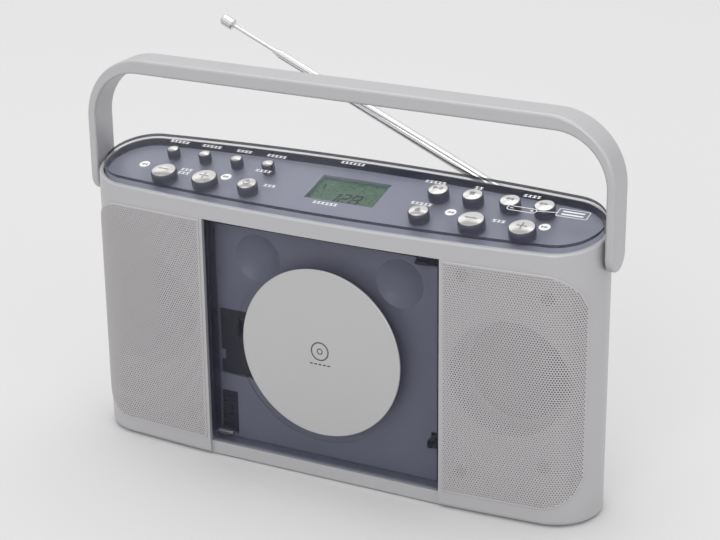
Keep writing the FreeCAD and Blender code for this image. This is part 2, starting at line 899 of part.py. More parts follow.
def control_panel():
    edge = [full_outline("panel_inset")]
    window = block_outline("-display_width / 2", "display_width / 2", "display_y - display_depth / 2",
                           "display_y + display_depth / 2")
    upright = extrude("panel_upright", "XY", edge, "foot_proud", "blank_height")
    sheet_block = slanted_block(
        "panel_level", "panel", panel_point, ("-body_width", "body_width"),
        ("-body_depth", "body_depth"), ("-panel_low", "-panel_drop"))
    holes = extrude_panel("panel_holes", [window] + key_holes(lambda cap: "key_stem + 0.4"),
                          "-panel_low - 1", "1 - panel_drop")
    node(cut("panel_cut", common("panel_blank", upright, sheet_block), holes), "control_deck")


def top_cover():
    """Clear tray, upside down, that stands proud of the rim."""
    def tray(name, inset, low, high):
        upright = extrude(name + "_upright", "XY", [full_outline(inset)], "foot_proud", "blank_height")
        level = slanted_block(name + "_level", "panel", panel_point, ("-body_width", "body_width"),
                              ("-body_depth", "body_depth"), (low, high))
        return common(name, upright, level)

    outer = tray("cover_outer", "cover_inset", "-panel_drop", "cover_raise")
    slope = math.tan(math.radians(size_of("top_angle")))
    top = size_of("mid_height + cover_raise / cos(tilt)")

    def on_top(edge):
        return all(abs(vertex.Z - top - slope * vertex.Y) < 0.01 for vertex in edge.Vertexes)

    rounded = round_edges("cover_rounded", outer, [("cover_round", on_top)])
    inner = tray("cover_inner", "cover_inset + cover_skirt", "-panel_drop - 5", "cover_raise - cover_thick")
    holes = extrude_panel("cover_holes", key_holes(lambda cap: cap + " + key_window"), "0", "cover_raise + 2")
    node(cut("cover_cut", rounded, inner, holes), "top_cover")


def display():
    half = "display_width / 2 + display_edge"
    low = "display_y - display_depth / 2 - display_edge"
    high = "display_y + display_depth / 2 + display_edge"
    node(extrude_panel("glass", [block_outline("-(%s)" % half, half, low, high)],
                       "-panel_low - glass_thick", "-panel_low"), "display_glass")
    outer = slanted_block("holder_out", "panel", panel_point, ("-(%s) - 2" % half, half + " + 2"),
                          (low + " - 2", high + " + 2"), ("-panel_low - 4", "-panel_low"))
    inner = slanted_block("holder_in", "panel", panel_point, ("-(%s)" % half, half), (low, high),
                          ("-panel_low - glass_thick", "1 - panel_low"))
    node(cut("holder", outer, inner), "display_frame")


def key_profile(cap):
    """Domed cap, stem through the deck, and the clip that keeps the key in."""
    clip_top = "-panel_low - 0.5"
    edge = "key_top - key_dome"
    dome = "((%s)^2 + key_dome^2) / (2 * key_dome)" % cap
    return [
        ("0", "-panel_low - 2.5"), ("key_stem", "-panel_low - 2.5"), ("key_stem", "-panel_low - 1.5"),
        ("key_clip", "-panel_low - 1.5"), ("key_clip", clip_top), ("key_stem", clip_top),
        ("key_stem", "key_travel + 0.2 - panel_drop"), (cap, "key_travel + 0.2 - panel_drop"),
        (cap, edge, dome), ("0", "key_top"),
    ]


def keys():
    for name, (cap, key_x, row) in KEYS.items():
        along = "back_row" if row > 0 else "-front_row"
        spot = panel_point(name + "_x", along, "0")
        node(turned(name + "_body", key_profile(cap), "panel", **spot), name)


def key_board():
    edge = block_outline("-board_half", "board_half", "-board_front", "board_rear")
    node(extrude_panel("board", [edge], "-board_drop - board_thick", "-board_drop"), "key_board")
    switches = []
    for name, (cap, key_x, row) in KEYS.items():
        along = "back_row" if row > 0 else "-front_row"
        switches.append(slanted_block(
            name + "_switch", "panel", panel_point,
            (name + "_x - switch_size / 2", name + "_x + switch_size / 2"),
            (along + " - switch_size / 2", along + " + switch_size / 2"),
            ("-board_drop", "switch_height - board_drop")))
    node(group("switches", switches), "key_switches")


# ---------------------------------------------------------------- door and deck

def door():
    """Clear door: a shallow tray on its side, curled under at the hinge."""
    sides = [
        ("-door_face", "hinge_z", "door_nose"), ("hinge_y", "hinge_z - door_nose"),
        ("-door_back", "hinge_z - 1"), ("-door_back", "door_top"), ("-door_face", "door_top"),
    ]
    hollow = [
        ("door_wall - door_face", "hinge_z", "door_nose - door_wall"),
        ("hinge_y", "hinge_z - door_nose + door_wall"),
        ("-door_back + 5", "hinge_z - door_nose + door_wall"), ("-door_back + 5", "door_top - door_side"),
        ("door_wall - door_face", "door_top - door_side"),
    ]
    slab = extrude("door_slab", "YZ", [sides], "-door_half", "door_half * 2")
    inside = extrude("door_inside", "YZ", [hollow], "-door_inner", "door_inner * 2")
    ring = extrude("door_ring", "XZ", [
        circle_outline("0", "disc_height", "disc_radius + ring_gap + ring_width"),
        circle_outline("0", "disc_height", "disc_radius + ring_gap")],
        "-door_face - ring_proud", "ring_proud + door_wall / 2")
    bores = cylinder("door_bores", "pin_radius + running_gap", "door_half * 2 + 4", "X", "-door_half - 2",
                     "hinge_y", "hinge_z")
    node(cut("door_cut", fuse("door_whole", cut("door_shell", slab, inside), ring), bores), "cd_door")
    disc = [("0", "0"), ("disc_radius", "0"), ("disc_radius", "disc_thick - 0.4"),
            ("disc_radius - 0.4", "disc_thick"), ("0", "disc_thick")]
    node(turned("disc", disc, "-Y", "0", "-door_face", "disc_height"), "door_disc_plate")
    hook = fuse(
        "hook",
        block("hook_arm", ("60", "68"), ("door_wall - door_face", "1 - deck_rear"),
              ("door_top - 7", "door_top - 5")),
        block("hook_lip", ("60", "68"), ("-deck_rear - 0.6", "1 - deck_rear"),
              ("door_top - 5", "door_top - 3")))
    node(hook, "door_latch")


def hinge_pins():
    left = cylinder("pin_left", "pin_radius", "tray_half - 65", "X", "-tray_half", "hinge_y", "hinge_z")
    right = cylinder("pin_right", "pin_radius", "tray_half - door_inner + 0.6", "X", "door_inner - 0.6",
                     "hinge_y", "hinge_z")
    node(group("pins", [left, right]), "door_hinge_pins")
    spring = shaped("spring", coil(2, 0.4, 7, 1), "X", "-door_inner + 0.8", "hinge_y", "hinge_z")
    node(spring, "door_spring")


def door_rack():
    """Toothed arc about the door's hinge that ends against the back of the door."""
    module = size_of("rack_module")
    thick = size_of("rack_thick")
    pitch = size_of("rack_pitch")
    middle = 90 + size_of("mesh_angle")
    face = gear_face(module, int(size_of("rack_teeth")), size_of("tooth_slack"), math.radians(middle))
    ring = face.extrude(Vector(0, 0, thick)).cut(Part.makeCylinder(pitch - 4 * module, thick))
    centre = Vector(0, 0, 0)
    reach = [Vector(2 * pitch * math.cos(math.radians(middle + turn)),
                    2 * pitch * math.sin(math.radians(middle + turn)), 0) for turn in (-41, 0.5, 42)]
    wedge = Part.Face(Part.makePolygon([centre] + reach + [centre])).extrude(Vector(0, 0, thick))
    skin_corner = Vector(-2 * pitch, size_of("door_wall - door_nose") - pitch, 0)
    door_skin = Part.makeBox(4 * pitch, pitch, thick, skin_corner)
    arc = ring.common(wedge).cut(door_skin)
    node(shaped("rack", arc, "X", "rack_x", "hinge_y", "hinge_z"), "door_rack")


def damper_gear():
    thick = size_of("rack_thick")
    teeth = int(size_of("damper_teeth"))
    phase = math.radians(270 + size_of("mesh_angle") + 180 / teeth)
    face = gear_face(size_of("rack_module"), teeth, size_of("tooth_slack"), phase)
    bore = Part.makeCylinder(size_of("pin_radius + running_gap"), thick)
    wheel = face.extrude(Vector(0, 0, thick)).cut(bore)
    node(shaped("damper", wheel, "X", "rack_x", "damper_y", "damper_z"), "damper_gear")


# The pickup's two guide rods: name and height
ROD_LEVELS = (("low", "disc_height - rod_spread / 2"), ("high", "disc_height + rod_spread / 2"))


def cd_deck():
    """Tray behind the door: a plate with walls round it, and posts for the works behind."""
    plate_box = block("deck_plate", ("-tray_half", "tray_half"), ("-deck_face", "-deck_rear"),
                      ("bay_floor - tray_side", "bay_top + tray_gap + tray_side"))
    rim = cut(
        "deck_rim",
        block("deck_rim_out", ("-tray_half", "tray_half"), ("0.7 - door_face", "-deck_face"),
              ("bay_floor - tray_side", "bay_top + tray_gap + tray_side")),
        block("deck_rim_in", ("tray_side - tray_half", "tray_half - tray_side"),
              ("-half_depth", "1 - deck_face"), ("bay_floor", "bay_top + tray_gap")),
        block("deck_rim_low", ("-body_width", "body_width"),
              ("-half_depth", "part_gap + door_wall - door_face"), ("0", "bay_floor")))
    cup = cylinder("deck_cup", "cup_radius + cup_wall", "deck_face - cup_rear", "Y", "0", "-deck_face",
                   "disc_height")
    dents = common(
        "deck_dents",
        group("deck_balls", [ball("deck_ball_" + hand, "dent_ball + dent_skin", sign + "dent_x",
                                  "dent_sink - deck_face - dent_ball", "dent_z")
                             for hand, sign in (("left", "-"), ("right", ""))]),
        block("deck_dent_side", ("-tray_half", "tray_half"), ("-deck_rear - 1", "0"),
              ("0", "blank_height")))
    posts = []
    for side, level in (("-", "-"), ("-", ""), ("", "-"), ("", "")):
        low, high = ("-tray_half + 2.4", "-tray_half + 6.4") if side == "-" else ("-4", "0")
        middle = "disc_height %s rod_spread / 2" % (level or "+")
        posts.append(block("deck_post_%d" % len(posts), (low, high), ("-deck_rear", "2.6 - rod_y"),
                           (middle + " - 3", middle + " + 3")))
    for way in ("-", ""):
        posts.append(cylinder("deck_stud_" + ("left" if way else "right"), "2.5",
                              "deck_rear - motor_front", "Y", "-sled_gear_x + %s11" % way, "-deck_rear",
                              "sled_gear_z"))
    ear = block("deck_ear", ("rack_x + rack_thick + 1", "rack_x + rack_thick + 3.5"),
                ("-deck_rear", "damper_y + 4"), ("damper_z - 4", "damper_z + 4"))
    pin = cylinder("deck_pin", "pin_radius", "rack_thick + 2", "X", "rack_x - part_gap", "damper_y",
                   "damper_z")
    tools = [
        cylinder("deck_cup_in", "cup_radius", "cup_sink + 1", "Y", "0", "-deck_face - 1", "disc_height"),
        cylinder("deck_cup_hole", "shaft_radius * 3", "deck_face", "Y", "0", "-deck_face", "disc_height"),
        block("deck_window", ("-window_left", "-window_right"), ("-half_depth", "-deck_rear + 0.5"),
              ("window_low", "window_high")),
        block("deck_slot_left", ("-slot_left", "-slot_right"), ("-half_depth", "0"),
              ("slot_low", "slot_high")),
        block("deck_slot_rack", ("rack_x - 1", "rack_x + rack_thick + 0.6"), ("-half_depth", "0"),
              ("30.5", "41")),
        block("deck_slot_latch", ("57", "71"), ("-half_depth", "0"), ("door_top - 9.6", "door_top - 1.6")),
        cylinder("deck_hinge", "pin_radius", "tray_half * 2 + 2", "X", "-tray_half - 1", "hinge_y",
                 "hinge_z"),
    ]
    for hand, sign in (("left", "-"), ("right", "")):
        tools.append(ball("deck_dent_" + hand, "dent_ball", sign + "dent_x",
                          "dent_sink - deck_face - dent_ball", "dent_z"))
    for end, level in ROD_LEVELS:
        tools.append(cylinder("deck_rod_" + end, "pin_radius", "tray_half", "X", "-tray_half", "-rod_y",
                              level))
    whole = fuse("deck_whole", plate_box, rim, cup, dents, ear, pin, *posts)
    node(cut("deck_cut", whole, *tools), "cd_deck")


def deck_masks():
    """Black plates behind the deck's two openings: one with a slot for the lens, one with a comb."""
    deep = ("-deck_rear", "mask_thick - deck_rear")
    whole = block("mask_plate", ("-tray_half + 2", "-cup_radius - cup_wall - part_gap"), deep,
                  ("window_low - mask_lap", "window_high + mask_lap"))
    path = block("mask_path", ("-lens_x - sled_left - tower_radius - 0.6", "0"), ("-half_depth", "0"),
                 ("disc_height - tower_radius - 0.6", "disc_height + tower_radius + 0.6"))
    low = ROD_LEVELS[0][1]
    post = block("mask_post", ("-body_width", "-tray_half + 6.4 + part_gap"), ("-half_depth", "0"),
                 (low + " - 3 - part_gap", low + " + 3 + part_gap"))
    lens_mask = cut("mask_cut", whole, path, post)
    ribs = [block("comb_plate", ("-tray_half + 2", "-slot_right + mask_lap"), deep,
                  ("slot_low - mask_lap", "slot_high + mask_lap"))]
    for number in range(6):
        level = "slot_low + comb_pitch * %s" % (number + 0.5)
        ribs.append(block("comb_rib_%d" % number, ("part_gap - slot_left", "-slot_right - 5"),
                          ("-deck_rear - comb_proud", "-deck_rear"), (level, level + " + comb_pitch / 3")))
    node(group("masks", [lens_mask, fuse("comb_whole", *ribs)]), "deck_masks")


# ---------------------------------------------------------------- disc works

def disc_works():
    rear = "platter_thick"
    platter = [
        ("0", "-(platter_front - motor_front - 6)"), ("shaft_radius", "-(platter_front - motor_front - 6)"),
        ("shaft_radius", "-platter_thick - 2.4"), ("hub_foot", "-platter_thick - 2.4"),
        ("hub_foot", "-" + rear), ("platter_radius", "-" + rear), ("platter_radius", "-0.4"),
        ("platter_radius - 0.4", "0"), ("hub_radius", "0"), ("hub_radius", "hub_height - 1.6"),
        ("hub_radius - 1.6", "hub_height"), ("0", "hub_height"),
    ]
    node(turned("platter", platter, "-Y", "0", "-platter_front", "disc_height"), "turntable")
    motor = [("shaft_radius + running_gap", "0"), ("motor_radius", "0"),
             ("motor_radius", "motor_length"), ("shaft_radius + running_gap", "motor_length")]
    node(turned("spindle", motor, "Y", "0", "-cup_rear", "disc_height"), "spindle_motor")
    rods = [cylinder("rod_" + end, "pin_radius", "tray_half - 2.4", "X", "2.4 - tray_half", "-rod_y", level)
            for end, level in ROD_LEVELS]
    node(group("rods", rods), "guide_rods")


def pickup():
    """Carriage that runs on the two rods, with the toothed edge that drives it."""
    half = "carriage_width / 2"
    body = block("sled_body", ("-lens_x - %s" % half, "-lens_x + %s" % half),
                 ("-rod_y - 2.6", "2.6 - rod_y"),
                 ("disc_height - rod_spread / 2 - 3.4", "disc_height + rod_spread / 2 + 3.4"))
    tower = cylinder("sled_tower", "tower_radius", "deck_rear + 0.5 - rod_y", "-Y", "-lens_x", "-rod_y",
                     "disc_height")
    bores = [cylinder("sled_bore_" + end, "pin_radius + running_gap", "tray_half * 2", "X", "-tray_half",
                      "-rod_y", level) for end, level in ROD_LEVELS]
    carriage = cut("sled_cut", fuse("sled_whole", body, tower, sled_rack()), *bores)
    node(carriage, "pickup_carriage")
    lens = [("0", "0"), ("3", "0"), ("3", "0.3"), ("2.2", "0.4", "6.25"), ("0", "0.8")]
    node(turned("lens", lens, "-Y", "-lens_x", "-deck_rear - 0.5", "disc_height"), "pickup_lens")


def sled_rack():
    """Straight teeth along X whose gap faces the gear."""
    module = size_of("sled_module")
    half = math.pi * module / 4 - size_of("tooth_slack") / 2
    lean = math.tan(math.radians(20)) * module
    points = [Vector(-62 + size_of("sled_gear_x"), 0, -4 * module)]
    for number in range(-7, 8):
        middle = (number + 0.5) * math.pi * module
        points += [
            Vector(middle - half - lean, 0, -module), Vector(middle - half + 0.8 * lean, 0, 0.8 * module),
            Vector(middle + half - 0.8 * lean, 0, 0.8 * module), Vector(middle + half + lean, 0, -module),
        ]
    points.append(Vector(-21 + size_of("sled_gear_x"), 0, -4 * module))
    points.append(points[0])
    teeth = Part.Face(Part.makePolygon(points)).extrude(Vector(0, 3, 0))
    return shaped("sled_teeth_strip", teeth, "Z", "-sled_gear_x", "-gear_front", "rack_line")


def sled_drive():
    teeth = int(size_of("sled_teeth"))
    face = gear_face(size_of("sled_module"), teeth, size_of("tooth_slack"), math.pi / 2)
    shaft = Part.makeCylinder(size_of("shaft_radius"), 14)
    gear = face.extrude(Vector(0, 0, 3)).fuse(shaft)
    node(shaped("sled_wheel", gear, "Y", "-sled_gear_x", "-gear_front", "sled_gear_z"), "sled_gear")
    can = cylinder("sled_can", "sled_motor_radius", "12.5", "Y", "-sled_gear_x", "-motor_front",
                   "sled_gear_z")
    flange = block("sled_flange", ("-sled_gear_x - 14", "14 - sled_gear_x"),
                   ("-motor_front", "1 - motor_front"), ("sled_gear_z - 4", "sled_gear_z + 4"))
    bore = cylinder("sled_motor_bore", "shaft_radius + running_gap", "20", "Y", "-sled_gear_x",
                    "-motor_front - 1", "sled_gear_z")
    node(cut("sled_motor_cut", fuse("sled_motor_whole", can, flange), bore), "sled_motor")


# ---------------------------------------------------------------- works behind the deck

def main_board():
    """Circuit board with its larger parts."""
    card = block("card", ("-main_half", "main_half"), ("board_y", "board_y + board_thick"),
                 ("main_bottom", "main_top"))
    parts = []
    for number, (x, z) in enumerate(((-44, 82), (-44, 122), (18, 126), (34, 92))):
        parts.append(block("chip_%d" % number, (str(x - 9), str(x + 9)), ("board_y - 2.4", "board_y"),
                           (str(z - 9), str(z + 9))))
    for number, (x, z, radius, tall) in enumerate(
            ((-8, 78, 5, 12), (6, 78, 5, 12), (52, 80, 6.3, 14), (52, 120, 4, 9), (-20, 134, 4, 9))):
        parts.append(cylinder("can_%d" % number, str(radius), str(tall), "Y", str(x), "board_y + board_thick",
                              str(z)))
    heat_sink = block("heat_sink", ("-62", "-20"), ("board_y + board_thick", "board_y + 13"), ("96", "99"))
    node(fuse("card_whole", card, heat_sink, *parts), "main_board")


def power_parts():
    core = block("core", ("92", "136"), ("-6", "12"), ("foot_proud + wall", "40"))
    winding = block("winding", ("100", "128"), ("-12", "18"), ("foot_proud + wall + 6", "34"))
    node(fuse("transformer", core, winding), "power_transformer")
    half = "(inlet_width / 2 - part_gap)"
    tall = "(inlet_height / 2 - part_gap)"
    shell = block("inlet_out", ("-inlet_x - " + half, "-inlet_x + " + half), ("inlet_face - inlet_depth", "inlet_face"),
                  ("inlet_z - " + tall, "inlet_z + " + tall))
    well = block("inlet_in", ("-inlet_x - %s + 1.6" % half, "-inlet_x + %s - 1.6" % half),
                 ("inlet_face + 3.6 - inlet_depth", "inlet_face + 1"), ("inlet_z - %s + 1.6" % tall, "inlet_z + %s - 1.6" % tall))
    pins = [cylinder("inlet_pin_%d" % number, "1.1", "inlet_depth - 5", "Y", "-inlet_x + (%d)" % way,
                     "inlet_face + 2 - inlet_depth", "inlet_z") for number, way in enumerate((-4, 4))]
    node(fuse("inlet", cut("inlet_shell", shell, well), *pins), "power_inlet")
    jack = fuse(
        "jack_whole",
        cylinder("jack_neck", "jack_radius * 2", "5", "Y", "-jack_x", "jack_face - 5", "jack_z"),
        block("jack_body", ("-jack_x - 6", "6 - jack_x"), ("jack_face - 16", "jack_face - 5"), ("jack_z - 5", "jack_z + 5")))
    hole = cylinder("jack_hole", "jack_radius", "jack_length", "Y", "-jack_x", "jack_face - jack_length", "jack_z")
    node(cut("jack", jack, hole), "headphone_socket")


def batteries():
    """Open box for six cells, its springs, and the hatch in the back of the case."""
    outer = block("cells_out", ("-battery_half", "battery_half"), ("battery_front", "half_depth - battery_back"),
                  ("battery_bottom", "battery_top"))
    inner = block("cells_in", ("battery_wall - battery_half", "battery_half - battery_wall"),
                  ("battery_front + battery_wall", "half_depth"),
                  ("battery_bottom + battery_wall", "battery_top - battery_wall"))
    node(cut("cells", outer, inner), "battery_case")
    contacts = []
    for side in ("-", ""):
        for level in ("battery_bottom + 15", "battery_top - 15"):
            x = "-battery_half + battery_wall" if side else "battery_half - battery_wall - 0.4"
            contacts.append(block("contact_%d" % len(contacts), (x, x + " + 0.4"), ("9", "23"),
                                  (level + " - 9", level + " + 9")))
    node(group("contacts", contacts), "battery_contacts")
    strip = cut(
        "hatch_strip",
        extrude("hatch_out", "XY", [half_outline("1", "0")], "hatch_floor", "hatch_top - hatch_floor"),
        extrude("hatch_in", "XY", [half_outline("1", "wall")], "0", "blank_height"))
    middle = block("hatch_block", ("-hatch_half", "hatch_half"), ("half_depth / 2", "body_depth"),
                   ("0", "blank_height"))
    node(common("hatch", strip, middle), "battery_door")


# ---------------------------------------------------------------- handle

def handle():
    """Flat bail: two arms and a bar, with their long edges rounded."""
    inner = "arm_outer - arm_thick"
    low = "pivot_z - arm_below"
    bow = [
        ("-arm_outer", low), ("-(%s)" % inner, low),
        ("-(%s)" % inner, "bar_top - bar_thick - handle_inner_corner", "handle_inner_corner", "in"),
        ("handle_inner_corner - (%s)" % inner, "bar_top - bar_thick"),
        ("%s - handle_inner_corner" % inner, "bar_top - bar_thick", "handle_inner_corner", "in"),
        (inner, "bar_top - bar_thick - handle_inner_corner"),
        (inner, low), ("arm_outer", low),
        ("arm_outer", "bar_top - handle_corner", "handle_corner"),
        ("arm_outer - handle_corner", "bar_top"),
        ("handle_corner - arm_outer", "bar_top", "handle_corner"),
        ("-arm_outer", "bar_top - handle_corner"),
    ]
    half = "handle_depth / 2"
    side = [
        ("-(%s)" % half, "pivot_z", half), ("0", "pivot_z - " + half, half), (half, "pivot_z"),
        (half, "bar_top + 5"), ("-(%s)" % half, "bar_top + 5"),
    ]
    blank = common(
        "handle_blank",
        extrude("handle_bow", "XZ", [bow], "-body_depth", "body_depth * 2"),
        extrude("handle_side", "YZ", [side], "-body_width", "body_width * 2"))

    def long_edge(edge):
        return edge.Length > 8

    rounded = round_edges("handle_rounded", blank, [("handle_round", long_edge)])
    sockets = [cylinder("handle_socket_" + hand, "pivot_radius", "pivot_bite", axis, x, "0", "pivot_z")
               for hand, axis, x in (("left", "-X", "-(%s)" % inner), ("right", "X", inner))]
    node(cut("handle_cut", rounded, *sockets), "handle")
    head = "-(arm_gap + wall + 0.9)"
    profile = [
        ("0", head + " - 1.3"), ("pivot_radius + 2", head + " - 1.3"), ("pivot_radius + 2", head),
        ("pivot_radius", head),
        ("pivot_radius", "pivot_bite"), ("0", "pivot_bite"),
    ]
    pins = [turned("handle_pin_" + hand, profile, axis, x, "0", "pivot_z")
            for hand, axis, x in (("left", "-X", "-(%s)" % inner), ("right", "X", inner))]
    node(group("handle_pair", pins), "handle_pins")


# ---------------------------------------------------------------- antenna

def antenna_swivel():
    """Turning foot of the antenna with two ears for its hinge pin."""
    stem = [
        ("0", "-14"), ("6", "-14"), ("6", "-13"), ("turret_bore", "-13"), ("turret_bore", "-8.7"),
        ("turret_radius", "-8.7"), ("turret_radius", "-7.2"), ("turret_radius - 0.8", "-6.5"), ("0", "-6.5"),
    ]
    turret = turned("turret", stem, "Y", "antenna_x", "antenna_y", "antenna_z")
    ears = []
    for hand, low, high in (("down", "-3.4", "-1.6"), ("up", "1.6", "3.4")):
        ears.append(cylinder_along("ear_" + hand, "4", low, high))
        ears.append(slanted_block("neck_" + hand, "antenna", antenna_point, (low, high), ("-7", "0"),
                                  ("-4", "4")))
    bore = cylinder_along("ear_bore", "1.2", "-5", "5")
    node(cut("swivel", fuse("swivel_whole", turret, *ears), bore), "antenna_swivel")
    node(cylinder_along("cross_pin", "1.2", "-3.8", "3.8"), "antenna_pin")


def cylinder_along(name, radius, low, high):
    """A cylinder along the antenna's hinge pin."""
    made = doc.addObject("Part::Cylinder", name)
    bind(made, "Radius", radius)
    bind(made, "Height", "(%s) - (%s)" % (high, low))
    spot = antenna_point(low, "0", "0")
    for letter, text in spot.items():
        bind(made, "Placement.Base." + letter, text)
    made.Placement = Placement(made.Placement.Base, Rotation(Vector(0, 1, 0), size_of("antenna_lean")))
    bind(made, "Placement.Rotation.Angle", "antenna_lean * 1 deg")
    return made


def antenna_rods():
    spot = dict(antenna_point("0", "0", "0"), axis="antenna")
    tube = [
        ("0", "5"), ("lower_radius - 0.6", "5"), ("lower_radius", "5.6"),
        ("lower_radius", "lower_length - 0.8"), ("lower_radius - 0.5", "lower_length"),
        ("middle_radius + running_gap", "lower_length"),
        ("middle_radius + running_gap", "8.4"), ("0", "8.4"),
    ]
    barrel = turned("barrel", tube, **spot)
    tongue = fuse(
        "tongue",
        slanted_block("tongue_bar", "antenna", antenna_point, ("-1.5", "1.5"), ("-2.8", "2.8"), ("0", "6")),
        cylinder_along("tongue_end", "2.8", "-1.5", "1.5"))
    bore = cylinder_along("tongue_bore", "1.25", "-4", "4")
    node(fuse("lower", barrel, cut("tongue_cut", tongue, bore)), "antenna_lower")
    middle = [
        ("rod_radius + running_gap", "middle_start"), ("middle_radius", "middle_start"),
        ("middle_radius", "middle_end - 5"), ("rod_radius + 0.5", "middle_end"),
        ("rod_radius + running_gap", "middle_end"),
    ]
    node(turned("middle", middle, **spot), "antenna_middle")
    tip = [
        ("0", "rod_start"), ("rod_radius", "rod_start"), ("rod_radius", "tip_end - tip_length"),
        ("tip_radius - 0.8", "tip_end - tip_length"), ("tip_radius", "tip_end - tip_length + 0.8"),
        ("tip_radius", "tip_end - 1.2"), ("tip_radius - 1.2", "tip_end"), ("0", "tip_end"),
    ]
    node(turned("tip", tip, **spot), "antenna_tip")


def check_all():
    """Stop unless every object is sound."""
    for item in doc.Objects:
        if "Invalid" in item.State or "Error" in item.State:
            raise RuntimeError("%s could not be made" % item.Label)
    for item in NODES:
        if item.Shape.isNull() or not item.Shape.isValid() or not item.Shape.Solids:
            raise RuntimeError("%s has no sound shape" % item.Label)


fill_sheet()
case = case_block()
front_cabinet(case)
rear_cabinet(case)
rubber_feet()
case_screws()
baskets = []
for hand, sign in (("left", "-"), ("right", "")):
    grille(hand, sign)
    baskets.append(speaker(hand, sign))
node(group("baskets", baskets), "speaker_frames")
speaker_magnets()
control_panel()
top_cover()
display()
keys()
key_board()
cd_deck()
deck_masks()
door()
hinge_pins()
door_rack()
damper_gear()
disc_works()
pickup()
sled_drive()
main_board()
power_parts()
batteries()
handle()
antenna_swivel()
antenna_rods()
doc.recompute()
check_all()
os.makedirs("parts", exist_ok=True)
for piece in NODES:
    piece.Shape.exportStep("parts/%s.step" % piece.Label)
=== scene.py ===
import json
import math

import bmesh
import bpy
from bpy.props import FloatProperty, FloatVectorProperty, PointerProperty
from mathutils import Matrix, Vector


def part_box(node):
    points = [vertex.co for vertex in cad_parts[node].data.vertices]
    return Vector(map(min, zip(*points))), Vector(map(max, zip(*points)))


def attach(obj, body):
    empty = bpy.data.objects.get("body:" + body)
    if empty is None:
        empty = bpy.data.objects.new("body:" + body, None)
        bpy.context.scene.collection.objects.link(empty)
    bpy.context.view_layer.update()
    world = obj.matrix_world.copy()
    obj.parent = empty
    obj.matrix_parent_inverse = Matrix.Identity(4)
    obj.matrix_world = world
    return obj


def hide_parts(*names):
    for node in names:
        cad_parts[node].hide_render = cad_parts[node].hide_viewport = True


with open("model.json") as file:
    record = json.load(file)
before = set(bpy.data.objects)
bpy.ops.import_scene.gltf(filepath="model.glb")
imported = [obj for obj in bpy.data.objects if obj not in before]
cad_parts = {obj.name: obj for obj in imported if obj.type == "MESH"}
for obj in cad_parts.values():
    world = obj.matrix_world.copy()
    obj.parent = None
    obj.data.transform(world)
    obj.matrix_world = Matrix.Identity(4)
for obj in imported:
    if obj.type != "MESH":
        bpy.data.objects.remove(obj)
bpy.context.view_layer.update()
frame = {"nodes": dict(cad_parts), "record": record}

bl_info = {
    "name": "Portable CD Radio",
    "version": (1, 0, 0),
    "blender": (4, 5, 0),
    "location": "3D View > Sidebar > CD Radio",
    "description": "Finishes, grilles, printing and studio for a portable CD radio",
    "category": "Object",
}

MM = 0.001
SLOT_OF = {row["node"]: row["material_slot"] for row in frame["record"]["subparts"]}
KEY_NAMES = [name for name in SLOT_OF if name.endswith("_key")]

# Case plan, in millimetres: half width, half depth and the radius of its round ends
HALF_WIDTH = 165.0
HALF_DEPTH = 34.0
END_RADIUS = 28.6
END_CENTRE = HALF_WIDTH - END_RADIUS
BOW_RADIUS = (END_CENTRE ** 2 + HALF_DEPTH ** 2 - END_RADIUS ** 2) / (2 * (HALF_DEPTH - END_RADIUS))
BOW_TURN = math.asin(END_CENTRE / (BOW_RADIUS - END_RADIUS))

# The sloping panel: its turn about X and its height over the front edge and over the middle of the case
PANEL_TURN = math.radians(13.8)
FRONT_HEIGHT = 163.6
PANEL_HEIGHT = FRONT_HEIGHT + HALF_DEPTH * math.tan(PANEL_TURN)
PANEL = Matrix.Translation((0, 0, PANEL_HEIGHT * MM)) @ Matrix.Rotation(PANEL_TURN, 4, "X")

# Levels off the sloping panel: face of the clear cover, face of the display glass, foot of a key's sleeve,
# and the two levels between which the mark on a cap is made
COVER_TOP = 4.5
GLASS_TOP = -4.5
SLEEVE_FOOT = -1.2
CAP_MARK_FOOT = 5.2
CAP_MARK_TOP = 6.06

# Where the two rows of keys lie, up the slope from the middle of the panel
ROWS = {1: 11.0, -1: -13.2}

# Turns a flat outline to stand upright and face the front
UPRIGHT = Matrix.Rotation(math.pi / 2, 4, "X")


def linear(code):
    """An sRGB hex colour as linear red, green and blue."""
    parts = [int(code[place:place + 2], 16) / 255 for place in (1, 3, 5)]
    return tuple(part / 12.92 if part <= 0.04045 else ((part + 0.055) / 1.055) ** 2.4 for part in parts)


# ------------------------------------------------------------------ settings

class RadioSizes(bpy.types.PropertyGroup):
    """Sizes of the pieces that are made here"""
    grille_pitch: FloatProperty(name="Grille pitch", description="Distance between neighbouring holes",
                                default=1.6 * MM, unit="LENGTH", precision=5)
    grille_hole: FloatProperty(name="Grille hole", description="Radius of a hole's corners",
                               default=0.5 * MM, unit="LENGTH", precision=5)
    grille_proud: FloatProperty(name="Grille proud", description="How far the sheet stands off the case",
                                default=0.8 * MM, unit="LENGTH", precision=5)
    grille_border: FloatProperty(name="Grille border", description="Plain edge round the holes",
                                 default=0.5 * MM, unit="LENGTH", precision=5)
    print_depth: FloatProperty(name="Print depth", description="Thickness of the printed marks",
                               default=0.06 * MM, unit="LENGTH", precision=6)


